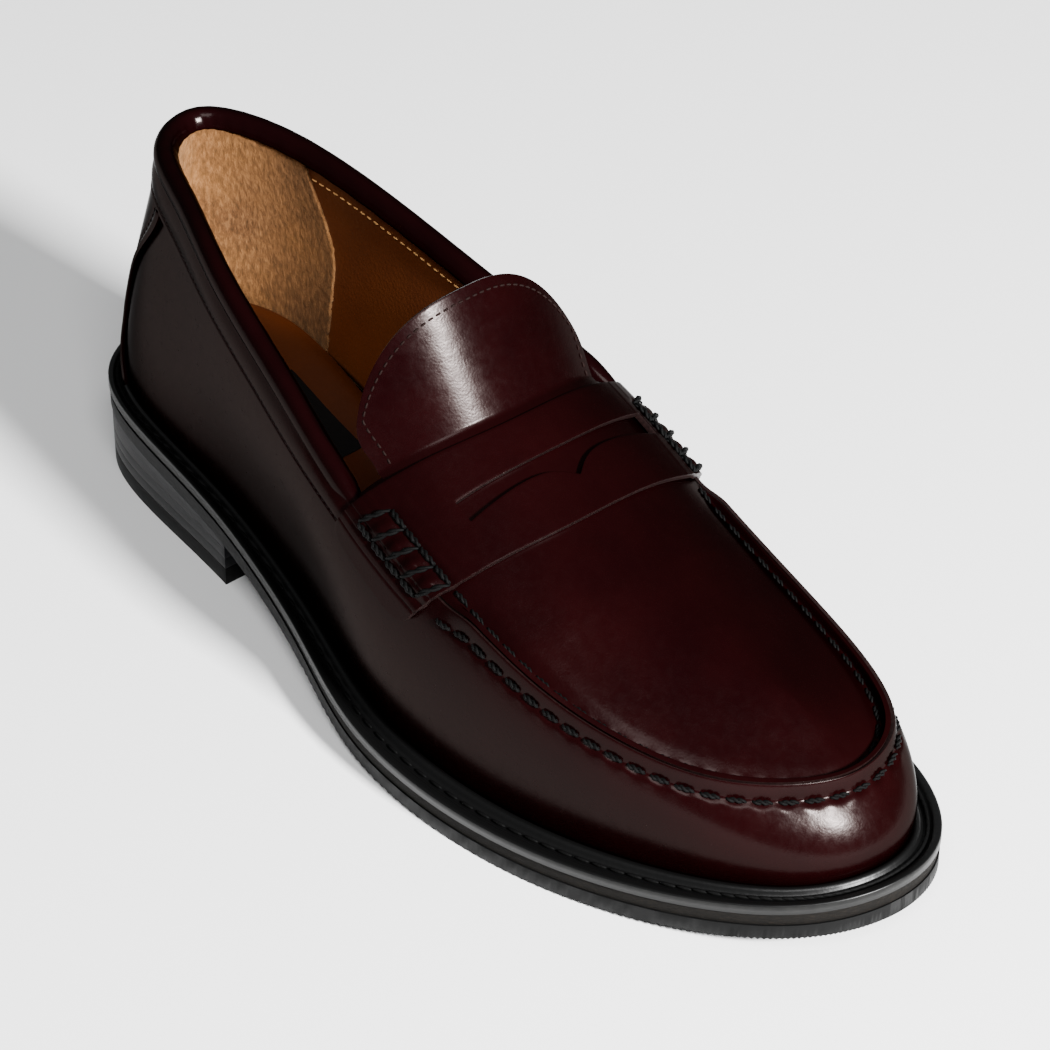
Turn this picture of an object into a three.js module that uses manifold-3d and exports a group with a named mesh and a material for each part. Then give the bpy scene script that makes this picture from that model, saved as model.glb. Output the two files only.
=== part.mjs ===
// Penny loafer, right shoe, size 42.5. Millimetres; +X to the toe, +Z up, +Y the medial side.
// The shoe is laid out with the heel's back at x = 0, then moved to its own bottom centre.
import * as THREE from 'three';
import { mergeVertices } from 'three/addons/utils/BufferGeometryUtils.js';
import Module from 'manifold-3d';

const { smoothstep, lerp, clamp } = THREE.MathUtils;
const UP = new THREE.Vector3(0, 0, 1);
const vec = (x, y, z) => new THREE.Vector3(x, y, z);

// ---------- driving dimensions ----------
const GAP = 0.4;                  // air between two glued layers
const LEATHER = 1.4;              // upper leather
const LINING = 1.1;
const WELT = 3.0;
const OUTSOLE = 4.3;
const MIDSOLE_BALL = 3.2;
const MIDSOLE_HEEL = 0.9;
const BREAST = 3.14;              // station of the heel breast
const LIP = 2.6;                  // height of the turned-up edges of the apron seam
const SIDES = 22;                 // stations round the shoe: 0 heel, 11 toe tip, lateral first

// One row per station: welt edge x, y; how far the upper stands inside it; how far the wall
// bulges low down and high up; then the upper's top edge x, y, z (topline, then apron seam).
const STATIONS = [
  [0, 5, 5.5, 0.5, 2, 15, 9, 99.5],
  [9.5, -17.5, 5.5, 0.5, 2, 23.5, -5, 99.5],
  [35, -28.2, 5, 2, 3, 46, -15, 98],
  [75, -33.3, 5.5, 4.5, 4, 77, -27, 94],
  [120, -42.6, 6.5, 4, 5, 112, -35, 83],
  [160, -54.7, 8, 2, 7, 147, -41.5, 70],
  [200, -56.5, 8.5, 2, 8, 182, -43.5, 60.5],
  [235, -49.7, 8.5, 2.5, 7, 218, -42.5, 50.5],
  [265, -37.4, 8, 3, 6, 248, -34.5, 43.5],
  [285, -24.3, 7.5, 3, 5.5, 266, -23, 40],
  [296, -10.6, 7.5, 3, 5.5, 277, -9, 38.3],
  [300, 4.5, 7.5, 3, 5.5, 282, 5, 37.8],
  [297, 19, 7.5, 3, 5, 279.5, 18.5, 38.2],
  [286, 31.5, 7.5, 3, 4, 270, 28.5, 39.6],
  [265.5, 42, 8, 3, 3.5, 250, 34.5, 43.5],
  [235, 48.3, 8.5, 2.5, 3.5, 220, 37.5, 50.5],
  [200, 49, 8.5, 3, 3.5, 188, 39.5, 60],
  [160, 39, 8, 4.5, 4.5, 156, 39, 72.5],
  [120, 32, 6.5, 5, 3.5, 115, 34.5, 84],
  [75, 35, 5.5, 4.5, 3, 79, 31.5, 92],
  [35, 37.5, 5, 2, 3, 45, 27.5, 97.5],
  [9.5, 26.5, 5.5, 0.5, 2, 22, 19.5, 99.5],
];

// ---------- curves ----------
// Control points whose closed cubic B-spline passes through the given points.
function throughPoints(points) {
  let control = points.map((p) => [...p]);
  for (let pass = 0; pass < 30; pass++) {
    control = control.map((c, i) => {
      const before = control.at(i - 1);
      const after = control[(i + 1) % control.length];
      return c.map((v, m) => v + points[i][m] - (before[m] + 4 * v + after[m]) / 6);
    });
  }
  return control;
}

function onSpline(control, at) {
  const n = control.length;
  const k = Math.floor(at);
  const f = at - k;
  const weights = [(1 - f) ** 3, 3 * f ** 3 - 6 * f ** 2 + 4, -3 * f ** 3 + 3 * f ** 2 + 3 * f + 1, f ** 3];
  const near = weights.map((_, j) => control[(((k + j - 1) % n) + n) % n]);
  return near[0].map((_, m) => near.reduce((sum, c, j) => sum + (c[m] * weights[j]) / 6, 0));
}

// Smooth height over x through hand-set points.
function profile(points) {
  return (x) => {
    const n = points.length;
    let k = points.findIndex((p) => p[0] > x) - 1;
    if (k === -2) k = n - 2;
    k = clamp(k, 0, n - 2);
    const slope = (j) => {
      const a = points[Math.max(j - 1, 0)];
      const b = points[Math.min(j + 1, n - 1)];
      return (b[1] - a[1]) / (b[0] - a[0]);
    };
    const [x0, z0] = points[k];
    const [x1, z1] = points[k + 1];
    const w = x1 - x0;
    const t = (x - x0) / w;
    const rise = (2 * t ** 3 - 3 * t ** 2 + 1) * z0 + (3 * t ** 2 - 2 * t ** 3) * z1;
    return rise + (t ** 3 - 2 * t ** 2 + t) * w * slope(k) + (t ** 3 - t ** 2) * w * slope(k + 1);
  };
}

const RAILS = throughPoints(STATIONS);
const weltTop = profile([[-10, 28.4], [0, 28.2], [40, 26.7], [75, 23.6], [110, 18.2], [150, 13.4],
  [190, 11.32], [225, 11.32], [255, 12.6], [280, 15.2], [300, 18.3], [310, 20]]);
const midsole = (x) => lerp(MIDSOLE_HEEL, MIDSOLE_BALL, smoothstep(x, 80, 165));
const outsoleTop = (x) => weltTop(x) - WELT - 2 * 0.3 - midsole(x);
const outsoleBottom = (x) => outsoleTop(x) - OUTSOLE;

// Outward unit normal of the welt edge, in plan.
function outward(i) {
  const a = onSpline(RAILS, i - 0.01);
  const b = onSpline(RAILS, i + 0.01);
  return vec(b[1] - a[1], a[0] - b[0], 0).normalize();
}

function edge(i, inset) {
  const [x, y] = onSpline(RAILS, i);
  return vec(x, y, 0).addScaledVector(outward(i), -inset);
}

// How far the apron seam's turned-up edge is raised at a station: full ahead of the strap.
const lip = (i) => LIP * smoothstep(i, 6.14, 6.45) * (1 - smoothstep(i, 15.55, 15.86));
const round = (i) => ((i % SIDES) + SIDES) % SIDES;

// The upper's outer face: v = 0 on the welt, v = 1 on the topline or the apron seam.
function wall(i, v) {
  const [, , inset, low, high, tx, ty, tz] = onSpline(RAILS, i);
  const n = outward(i);
  const foot = edge(i, inset);
  foot.z = weltTop(foot.x) + 0.3;
  const top = vec(tx, ty, tz);
  const rise = top.z - foot.z;
  const a = foot.clone().addScaledVector(n, low).addScaledVector(UP, rise * 0.36);
  const b = top.clone().addScaledVector(n, high).addScaledVector(UP, -rise * 0.26);
  const point = new THREE.CubicBezierCurve3(foot, a, b, top).getPoint(v);
  point.z += lip(round(i)) * smoothstep(v, 0.92, 1);
  return point;
}

function normalOf(surface, u, v) {
  const e = 0.004;
  const du = surface(u + e, v).sub(surface(u - e, v));
  const dv = surface(u, Math.min(v + e, 1)).sub(surface(u, Math.max(v - e, 0)));
  return du.cross(dv).normalize();
}

// ---------- solids ----------
// A closed solid between two grids of points; u and v run so that u x v points out of `outer`.
function solidBetween(outer, inner, nu, nv, { ring = false, fold = false } = {}) {
  const columns = ring ? nu : nu + 1;
  const points = [];
  for (const grid of [outer, inner]) {
    for (let u = 0; u < columns; u++) {
      for (let v = 0; v <= nv; v++) points.push(grid(u / nu, v / nv));
    }
  }
  const at = (side, u, v) => side * columns * (nv + 1) + (u % columns) * (nv + 1) + v;
  const index = [];
  const quad = (a, b, c, d) => index.push(a, b, c, a, c, d);
  for (let u = 0; u < nu; u++) {
    for (let v = 0; v < nv; v++) {
      quad(at(0, u, v), at(0, u + 1, v), at(0, u + 1, v + 1), at(0, u, v + 1));
      quad(at(1, u, v), at(1, u, v + 1), at(1, u + 1, v + 1), at(1, u + 1, v));
    }
    quad(at(0, u + 1, 0), at(0, u, 0), at(1, u, 0), at(1, u + 1, 0));
    quad(at(0, u, nv), at(0, u + 1, nv), at(1, u + 1, nv), at(1, u, nv));
  }
  for (let v = 0; v < nv && !ring; v++) {
    quad(at(0, 0, v), at(0, 0, v + 1), at(1, 0, v + 1), at(1, 0, v));
    if (!fold) quad(at(0, nu, v + 1), at(0, nu, v), at(1, nu, v), at(1, nu, v + 1));
  }
  return weld(points, index);
}

// Joins coinciding points and drops the triangles that this leaves without area.
function weld(points, index) {
  let geometry = new THREE.BufferGeometry().setFromPoints(points);
  geometry.setIndex(index);
  geometry = mergeVertices(geometry, 1e-3);
  const old = geometry.getIndex().array;
  const kept = [];
  for (let t = 0; t < old.length; t += 3) {
    const [a, b, c] = old.slice(t, t + 3);
    if (a !== b && b !== c && c !== a) kept.push(a, b, c);
  }
  geometry.setIndex(kept);
  geometry.computeVertexNormals();
  return geometry;
}

const group = new THREE.Group();
const LOOKS = {
  oxblood: { color: 0x4a0d14, roughness: 0.22, metalness: 0 },
  tan: { color: 0xc9773c, roughness: 0.6, metalness: 0 },
  suede: { color: 0xbf9468, roughness: 0.95, metalness: 0 },
  thread: { color: 0x0c0b0b, roughness: 0.7, metalness: 0 },
  black: { color: 0x17181a, roughness: 0.45, metalness: 0 },
  welt: { color: 0x25262a, roughness: 0.5, metalness: 0 },
  brown: { color: 0x3d2a20, roughness: 0.75, metalness: 0 },
  cork: { color: 0xb08a5a, roughness: 0.9, metalness: 0 },
  board: { color: 0xa98c68, roughness: 0.9, metalness: 0 },
  steel: { color: 0x9a9da2, roughness: 0.35, metalness: 1 },
};

function add(name, geometry, look) {
  const mesh = new THREE.Mesh(geometry, new THREE.MeshStandardMaterial(LOOKS[look]));
  mesh.name = name;
  group.add(mesh);
}

// A layer of the wall between stations i0..i1 and heights v0..v1, offset from the outer face.
function wallLayer(name, look, i0, i1, v0, v1, from, to, nu, nv) {
  const whole = i1 - i0 >= SIDES;
  const place = (offset) => (u, v) => {
    const i = lerp(i0, i1, u);
    const low = typeof v0 === 'function' ? v0(i) : v0;
    const high = typeof v1 === 'function' ? v1(i) : v1;
    const w = lerp(low, high, v);
    return wall(i, w).addScaledVector(normalOf(wall, i, w), offset);
  };
  add(name, solidBetween(place(to), place(from), nu, nv, { ring: whole }), look);
}

// A flat-lying layer inside the welt edge, between two heights over x.
function slab(name, look, top, bottom, inset, i0, i1, nu, nv) {
  const insetAt = typeof inset === 'function' ? inset : () => inset;
  const place = (height) => (u, v) => {
    const i = lerp(i0, i1, u);
    const p = edge(i, insetAt(i)).lerp(edge(SIDES - i, insetAt(SIDES - i)), v);
    p.z = height(p.x);
    return p;
  };
  add(name, solidBetween(place(top), place(bottom), nu, nv), look);
}

// A thread or bead: a round rod along a list of points.
function rod(name, look, points, radius, sides, steps) {
  const curve = new THREE.CatmullRomCurve3(points);
  const section = new THREE.Shape();
  for (let k = 0; k < sides; k++) {
    const a = (2 * Math.PI * k) / sides;
    const [x, y] = [radius * Math.cos(a), radius * Math.sin(a)];
    if (k) section.lineTo(x, y);
    else section.moveTo(x, y);
  }
  const geometry = new THREE.ExtrudeGeometry(section, { steps, extrudePath: curve, curveSegments: 1 });
  geometry.deleteAttribute('normal');
  geometry.deleteAttribute('uv');
  const flatIndex = [...Array(geometry.getAttribute('position').count).keys()];
  const position = geometry.getAttribute('position');
  const corners = flatIndex.map((k) => new THREE.Vector3().fromBufferAttribute(position, k));
  add(name, weld(corners, flatIndex), look);
}

// ---------- heel ----------
const HEEL_INSET = 0.5;
const LIFTS = [[0, 5.2], [5.5, 8.6], [8.9, 12]];
const [topPiece, ...lifts] = LIFTS;
const seat = (x) => outsoleBottom(x) - 0.3;
slab('heel_top_piece', 'black', () => topPiece[1], () => topPiece[0], HEEL_INSET, 0, BREAST, 14, 2);
lifts.forEach(([low, high], k) => {
  slab(`heel_lift_${k + 1}`, 'black', () => high, () => low, HEEL_INSET, 0, BREAST, 14, 2);
});
slab('heel_wedge', 'black', seat, () => LIFTS.at(-1)[1] + 0.3, HEEL_INSET, 0, BREAST, 14, 2);

// ---------- sole ----------
const wholeHalf = SIDES / 2;
const WELT_REACH = 12.5;
slab('outsole', 'black', outsoleTop, outsoleBottom, 0.2, 0, wholeHalf, 40, 2);
const midsoleTop = (x) => weltTop(x) - WELT - 0.3;
slab('midsole', 'brown', midsoleTop, (x) => outsoleTop(x) + 0.3, 0.6, 0, wholeHalf, 40, 2);
const weltGrid = (drop) => (u, v) => {
  const p = edge(u * SIDES, v * WELT_REACH);
  p.z = weltTop(p.x) - drop;
  return p;
};
add('welt', solidBetween(weltGrid(0), weltGrid(WELT), 66, 1, { ring: true }), 'welt');
const STITCH_SHARE = 0.52;        // the welt stitches run this far into the open welt
const weltStitches = [...Array(67).keys()].map((k) => {
  const i = lerp(0.01, SIDES - 0.01, k / 66);
  const p = edge(i, onSpline(RAILS, i)[2] * STITCH_SHARE);
  p.z = weltTop(p.x) + 0.85;
  return p;
});
rod('welt_thread', 'thread', weltStitches, 0.5, 4, 88);
const filler = WELT_REACH + 0.5;
const fillerTop = (x) => weltTop(x) - 0.3;
const fillerBottom = (x) => weltTop(x) - WELT;
slab('cork_filler', 'cork', fillerTop, fillerBottom, filler, 4.2, 10.6, 16, 2);

const SHANK = { half: 8, from: 32, to: 122, thick: 1.4 };
const shankAt = (x, w) => vec(x, 3 + w * SHANK.half, weltTop(x) - 0.5);
const shankX = (u) => lerp(SHANK.from, SHANK.to, u);
add('shank', solidBetween(
  (u, v) => shankAt(shankX(u), 2 * v - 1),
  (u, v) => shankAt(shankX(u), 2 * v - 1).addScaledVector(UP, -SHANK.thick),
  12, 1,
), 'steel');

const INSOLE_GAP = LEATHER + GAP + 1.2 + GAP + LINING + 1.2;
const insoleInset = (i) => onSpline(RAILS, i)[2] + INSOLE_GAP;
const boardTop = (x) => weltTop(x) + 2.3;
const sockTop = (x) => boardTop(x) + 0.3 + lerp(9.5, 2.2, smoothstep(x, 35, 140));
slab('insole_board', 'board', boardTop, (x) => weltTop(x) + 0.3, insoleInset, 0, wholeHalf, 28, 2);
slab('sock', 'tan', sockTop, (x) => boardTop(x) + 0.3, (i) => insoleInset(i) + 0.5, 0, wholeHalf, 28, 2);

const LABEL = { x0: 53, x1: 88, y0: -9, y1: 13.5 };
const labelAt = (lift) => (u, v) => {
  const x = lerp(LABEL.x0, LABEL.x1, u);
  return vec(x, lerp(LABEL.y0, LABEL.y1, v), sockTop(x) + lift);
};
add('sock_label', solidBetween(labelAt(0.7), labelAt(0.3), 6, 1), 'black');

// ---------- upper ----------
const COUNTER = [-(LEATHER + GAP + 1.2), -(LEATHER + GAP)];
const INNER = [COUNTER[0] - GAP - LINING, COUNTER[0] - GAP];
const COVER = [0.55, 1.45];
wallLayer('skirt', 'oxblood', 0, SIDES, 0, 1, -LEATHER, 0, 66, 7);
wallLayer('heel_counter', 'board', -2.9, 2.9, 0.03, 0.62, ...COUNTER, 18, 4);
wallLayer('toe_puff', 'board', 8.4, 13.6, 0.03, 0.72, ...COUNTER, 16, 4);

const GRIP_END = 2.1;
wallLayer('heel_grip', 'suede', -GRIP_END, GRIP_END, 0.04, 0.99, ...INNER, 18, 5);
wallLayer('quarter_lining_lateral', 'tan', GRIP_END + 0.05, 5.9, 0.04, 0.985, ...INNER, 10, 5);
wallLayer('quarter_lining_medial', 'tan', 16.15, SIDES - GRIP_END - 0.05, 0.04, 0.985, ...INNER, 10, 5);
wallLayer('vamp_lining', 'tan', 5.95, 16.1, 0.04, 0.86, ...INNER, 30, 4);

const COLLAR_END = 4.75;
const COLLAR_WIDTH = 13.5;
const collarLow = (i) => {
  const [x, , , , , , , top] = onSpline(RAILS, i);
  return 1 - COLLAR_WIDTH / (top - weltTop(x));
};
wallLayer('collar_band', 'oxblood', -COLLAR_END, COLLAR_END, collarLow, 0.995, ...COVER, 30, 2);
const stayHalf = (v) => 0.97 + 0.5 * (1 - smoothstep(v, 0, 0.25)) + 0.6 * smoothstep(v, 0.4, 1);
const stayPlace = (offset) => (u, v) => {
  const w = v * (collarLow(0) - 0.015);
  const i = lerp(-1, 1, u) * stayHalf(v);
  return wall(i, w).addScaledVector(normalOf(wall, i, w), offset);
};
add('heel_stay', solidBetween(stayPlace(COVER[1]), stayPlace(COVER[0]), 10, 6), 'oxblood');

// Rows of stitching lie just proud of the piece that they hold.
function stitchLine(name, i0, i1, heightAt, offset, count, steps) {
  const points = [...Array(count + 1).keys()].map((k) => {
    const i = lerp(i0, i1, k / count);
    const v = heightAt(i, k / count);
    return wall(i, v).addScaledVector(normalOf(wall, i, v), offset);
  });
  rod(name, 'thread', points, 0.35, 4, steps);
}
stitchLine('collar_thread', -4.6, 4.6, (i) => collarLow(i) + 0.03, COVER[1] + 0.75, 36, 50);
for (const [side, sign] of [['lateral', 1], ['medial', -1]]) {
  const points = [...Array(11).keys()].map((k) => {
    const v = 0.03 + 0.9 * (k / 10);
    const i = sign * (stayHalf(v) - 0.12);
    const w = v * (collarLow(0) - 0.015);
    return wall(i, w).addScaledVector(normalOf(wall, i, w), COVER[1] + 0.75);
  });
  rod(`heel_stay_thread_${side}`, 'thread', points, 0.35, 4, 20);
}

const bindingPoints = [...Array(41).keys()].map((k) => {
  const i = lerp(-COLLAR_END, COLLAR_END, k / 40);
  return wall(i, 1).addScaledVector(outward(i), (COVER[1] + INNER[0]) / 2).add(vec(0, 0, 2.1));
});
rod('collar_binding', 'oxblood', bindingPoints, 1.45, 6, 48);

// ---------- apron ----------
const APRON_REAR = 5.0;
const SPINE_REAR = 164.5;
const SPINE_FRONT = 258;
const spineHeight = profile([[150, 95], [166, 86.6], [182, 79], [198, 71.8], [220, 63.3], [240, 56],
  [258, 49.6], [272, 44.2], [285, 38.5]]);
const seamInset = LEATHER + GAP;

// The seam point of a half: k = 0 under the strap, k = 1 at the toe tip.
function seamPoint(k, medial) {
  const i = medial ? lerp(SIDES - APRON_REAR, wholeHalf, k) : lerp(APRON_REAR, wholeHalf, k);
  const n = outward(i);
  const top = wall(i, 1);
  top.z -= lip(i);
  return top.addScaledVector(n, -seamInset);
}

function apron(k, r) {
  const side = seamPoint(k, r > 0);
  const other = seamPoint(k, r <= 0);
  const spine = vec(0, 0, 0).addVectors(side, other).multiplyScalar(0.5);
  spine.x = lerp(SPINE_REAR, SPINE_FRONT, 1 - (1 - k) ** 2.1);
  const share = Math.abs(r);
  const fall = share ** 2.1;
  const point = vec(lerp(spine.x, side.x, fall), lerp(spine.y, side.y, share), 0);
  point.z = lerp(spineHeight(point.x), side.z, fall);
  const i = r > 0 ? lerp(SIDES - APRON_REAR, wholeHalf, k) : lerp(APRON_REAR, wholeHalf, k);
  point.z += lip(i) * smoothstep(share, 0.95, 1);
  return point;
}
// Columns crowd toward both edges, where the seam turns up.
const across = (v) => Math.sign(2 * v - 1) * (1 - (1 - Math.abs(2 * v - 1)) ** 1.8);
const apronGrid = (drop) => (u, v) => apron(u, across(v)).addScaledVector(UP, -drop);
add('apron', solidBetween(apronGrid(0), apronGrid(1.7), 22, 12, { fold: true }), 'oxblood');
const liningGrid = (drop) => (u, v) => {
  const p = apron(lerp(0.03, 1, u), across(v) * 0.9);
  return p.addScaledVector(UP, -drop);
};
add('apron_lining', solidBetween(liningGrid(2.3), liningGrid(3.4), 18, 8, { fold: true }), 'tan');

const apronStitches = [...Array(61).keys()].map((k) => {
  const half = k / 30;
  const p = half <= 1 ? apron(0.2 + 0.8 * half, -0.88) : apron(0.2 + 0.8 * (2 - half), 0.88);
  return p.addScaledVector(UP, 1.2);
});
rod('apron_thread', 'thread', apronStitches, 0.45, 4, 72);

// ---------- strap ----------
const STRAP = { rear: 5.06, front: 6.04, thick: 1.6, clear: 1.0, overSeam: 0.9 };
// Each end flap takes this share of the strap, hangs this far down the wall and leans this many
// stations back, first at its rear corner and then at its front one.
const FLAP = { share: 0.14, reach: [0.165, 0.27], lean: [0.13, 0.34] };
const mirrorStation = (i) => SIDES - i;

// Under the strap lie the lateral wall, the apron and the medial wall: p runs over all three.
function strapBed(p, q) {
  const down = 1 - Math.min(p, 1 - p) / FLAP.share;
  const i = lerp(STRAP.rear, STRAP.front, q) - lerp(...FLAP.lean, q) * Math.max(down, 0);
  const k = (i - APRON_REAR) / (wholeHalf - APRON_REAR);
  if (down > 0) return wall(p < 0.5 ? i : mirrorStation(i), 1 - lerp(...FLAP.reach, q) * down);
  return apron(k, lerp(-1, 1, (p - FLAP.share) / (1 - 2 * FLAP.share)));
}

function strapMiddle(p, q) {
  const spread = 0.045;
  const sum = vec(0, 0, 0);
  const taps = [-1.5, -1, -0.5, 0, 0.5, 1, 1.5];
  for (const t of taps) sum.add(strapBed(clamp(p + t * spread, 0, 1), q));
  return sum.multiplyScalar(1 / taps.length);
}

const strapAt = (offset) => (u, v) => {
  const n = normalOf(strapMiddle, clamp(v, 0.01, 0.99), u).negate();
  const seam = Math.exp(-(((Math.abs(v - 0.5) - 0.37) / 0.07) ** 2));
  return strapMiddle(v, u).addScaledVector(n, offset + STRAP.clear + STRAP.overSeam * seam);
};

// The coin slot: a bowed rear edge and a front lip with two humps and a point between them.
const SLOT = { rear: 172.4, bow: 4.4, lip: 178.7, hump: 182.3, point: 185.6, lateral: -28, medial: 32 };
const slotShape = new THREE.Shape();
const slotMiddle = (SLOT.lateral + SLOT.medial) / 2;
slotShape.moveTo(SLOT.rear, SLOT.lateral);
slotShape.lineTo(SLOT.lip, SLOT.lateral + 2);
slotShape.quadraticCurveTo(SLOT.lip, slotMiddle - 12, SLOT.hump, slotMiddle - 4);
slotShape.lineTo(SLOT.point, slotMiddle);
slotShape.lineTo(SLOT.hump, slotMiddle + 4);
slotShape.quadraticCurveTo(SLOT.lip, slotMiddle + 12, SLOT.lip, SLOT.medial - 2);
slotShape.lineTo(SLOT.rear, SLOT.medial);
slotShape.quadraticCurveTo(SLOT.rear + 2 * SLOT.bow, slotMiddle, SLOT.rear, SLOT.lateral);
const slotTool = new THREE.ExtrudeGeometry(slotShape, { depth: 60, bevelEnabled: false, curveSegments: 5 });
slotTool.translate(0, 0, 55);

const wasm = await Module();
wasm.setup();
function manifoldOf(geometry) {
  const plain = geometry.clone();
  plain.deleteAttribute('normal');
  plain.deleteAttribute('uv');
  const merged = mergeVertices(plain, 1e-4);
  return new wasm.Manifold(new wasm.Mesh({
    numProp: 3,
    vertProperties: new Float32Array(merged.getAttribute('position').array),
    triVerts: new Uint32Array(merged.getIndex().array),
  }));
}
function geometryOf(solid) {
  const { vertProperties, triVerts } = solid.getMesh();
  const geometry = new THREE.BufferGeometry();
  geometry.setAttribute('position', new THREE.BufferAttribute(vertProperties, 3));
  geometry.setIndex(new THREE.BufferAttribute(triVerts, 1));
  geometry.computeVertexNormals();
  return geometry;
}
const strapSolid = manifoldOf(solidBetween(strapAt(STRAP.thick), strapAt(0), 8, 30));
add('strap', geometryOf(strapSolid.subtract(manifoldOf(slotTool))), 'oxblood');

// Each end is sewn down with a ladder of stitches: two rails and the rungs between them.
const LADDER = { outer: 0.1, inner: 0.178, skew: 0.014, lag: 0.07, lift: 1.2 };
const RUNGS = { count: 5, from: 0.22, to: 0.96 };
for (const [side, mirrored] of [['lateral', false], ['medial', true]]) {
  const points = [];
  for (let k = 0; k < RUNGS.count; k++) {
    const q = lerp(RUNGS.from, RUNGS.to, k / (RUNGS.count - 1));
    const rails = k % 2 ? [LADDER.inner, LADDER.outer] : [LADDER.outer, LADDER.inner];
    for (const rail of rails) {
      const at = q - (rail === LADDER.outer ? LADDER.lag : 0);
      const p = rail - LADDER.skew * at;
      points.push(strapAt(STRAP.thick + LADDER.lift)(at, mirrored ? 1 - p : p));
    }
  }
  rod(`strap_thread_${side}`, 'thread', points, 0.35, 4, 36);
}

// ---------- tongue ----------
const TONGUE = { lean: 1.0, lateral: 0.92, medial: 0.82, side: 6, length: 33, gap: 1 };
const tongueAlong = vec(-Math.cos(TONGUE.lean), 0, Math.sin(TONGUE.lean));

// p runs across from the lateral edge (-1) to the medial edge (1), s from the strap to the free end.
function tongue(p, s) {
  const root = apron(0, p * (p > 0 ? TONGUE.medial : TONGUE.lateral));
  const free = TONGUE.side + (TONGUE.length - TONGUE.side) * (1 - Math.abs(p) ** 2.6) ** 0.55;
  return root.add(vec(-TONGUE.gap, 0, -0.4)).addScaledVector(tongueAlong, s * free);
}
const tongueLayer = (offset, trim) => (u, v) => {
  const p = (2 * v - 1) * trim;
  const s = (1 - u) * trim;
  const e = 0.01;
  const dp = tongue(Math.min(p + e, 1), 0).sub(tongue(Math.max(p - e, -1), 0));
  const n = dp.cross(tongueAlong).normalize();
  return tongue(p, s).addScaledVector(n, -offset);
};
add('tongue', solidBetween(tongueLayer(0, 1), tongueLayer(LEATHER, 1), 6, 16), 'oxblood');
const under = LEATHER + 0.3;
add('tongue_lining', solidBetween(tongueLayer(under, 0.97), tongueLayer(under + 0.9, 0.97), 6, 16), 'tan');
const tongueStitches = [...Array(31).keys()].map((k) => {
  const p = lerp(-0.92, 0.92, k / 30);
  const place = tongueLayer(-0.7, 1)(0.1, (p + 1) / 2);
  return place;
});
rod('tongue_thread', 'thread', tongueStitches, 0.35, 4, 44);

// The origin goes to the middle of the shoe's footprint, on the ground.
const size = new THREE.Box3().setFromObject(group);
const middle = size.getCenter(vec(0, 0, 0));
group.children.forEach((mesh) => mesh.geometry.translate(-middle.x, -middle.y, -size.min.z));

export default group;
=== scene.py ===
import functools
import math

import bmesh
import bpy
from mathutils import Matrix, Vector, noise


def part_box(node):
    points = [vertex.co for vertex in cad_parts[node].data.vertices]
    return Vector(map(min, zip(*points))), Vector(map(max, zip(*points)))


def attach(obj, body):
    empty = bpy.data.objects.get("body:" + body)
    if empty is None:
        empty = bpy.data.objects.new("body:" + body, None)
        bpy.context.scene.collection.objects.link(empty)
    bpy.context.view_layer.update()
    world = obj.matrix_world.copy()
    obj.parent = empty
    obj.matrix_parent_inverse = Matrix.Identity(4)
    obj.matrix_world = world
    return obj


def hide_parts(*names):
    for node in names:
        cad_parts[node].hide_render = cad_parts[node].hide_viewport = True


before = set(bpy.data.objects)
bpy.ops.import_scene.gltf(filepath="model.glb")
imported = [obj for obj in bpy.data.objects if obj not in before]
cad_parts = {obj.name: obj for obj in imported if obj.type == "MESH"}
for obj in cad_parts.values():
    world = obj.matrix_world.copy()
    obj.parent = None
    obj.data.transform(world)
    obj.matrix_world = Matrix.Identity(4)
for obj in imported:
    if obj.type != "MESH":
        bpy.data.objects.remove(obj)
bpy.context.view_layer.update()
MM = 0.001

# --- camera, floor and lights ---
# A pale paper floor that runs out of sight, one small softbox beside the toe that throws the shadow
# and the shine, a weaker wide card overhead, and a white room around, as a shoe is shot for sale.
VIEW_AZIMUTH, VIEW_ELEVATION, VIEW_DISTANCE = 48.5, 37.25, 1.0935
VIEW_TARGET = Vector((-0.0053, 0.0224, 0.030))
LENS = 141.3
SHOE_MIDDLE = Vector((0, 0, 0.04))


def direction(azimuth, elevation):
    a, e = math.radians(azimuth), math.radians(elevation)
    return Vector((math.sin(a) * math.cos(e), -math.cos(a) * math.cos(e), math.sin(e)))


def aim(obj, target):
    obj.rotation_euler = (target - obj.location).to_track_quat("-Z", "Y").to_euler()


camera = bpy.data.objects.new("camera", bpy.data.cameras.new("camera"))
bpy.context.scene.collection.objects.link(camera)
camera.data.lens = LENS
camera.data.sensor_width = 36
camera.location = VIEW_TARGET + direction(VIEW_AZIMUTH, VIEW_ELEVATION) * VIEW_DISTANCE
aim(camera, VIEW_TARGET)
bpy.context.scene.camera = camera


def colour(text):
    channels = [int(text[k:k + 2], 16) / 255 for k in (1, 3, 5)]
    linear = [c / 12.92 if c <= 0.04045 else ((c + 0.055) / 1.055) ** 2.4 for c in channels]
    return (*linear, 1)


def add(tree, kind, settings=None, **sockets):
    """Adds a node; a socket is given a value, or an output to link to it."""
    node = tree.nodes.new(kind)
    for key, value in (settings or {}).items():
        setattr(node, key, value)
    for key, value in sockets.items():
        name = key.replace("_", " ")
        socket = node.inputs[int(key[1:])] if key[0] == "i" and key[1:].isdigit() else node.inputs[name]
        if isinstance(value, bpy.types.NodeSocket):
            tree.links.new(value, socket)
        else:
            socket.default_value = value
    return node


def material(name, **shader):
    """A new material, with its tree, its shader node and the surface's object coordinates."""
    new = bpy.data.materials.new(name)
    new.use_nodes = True
    tree = new.node_tree
    principled = tree.nodes["Principled BSDF"]
    for key, value in shader.items():
        principled.inputs[key.replace("_", " ")].default_value = value
    where = add(tree, "ShaderNodeTexCoord").outputs["Object"]
    return new, tree, principled, where


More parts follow.
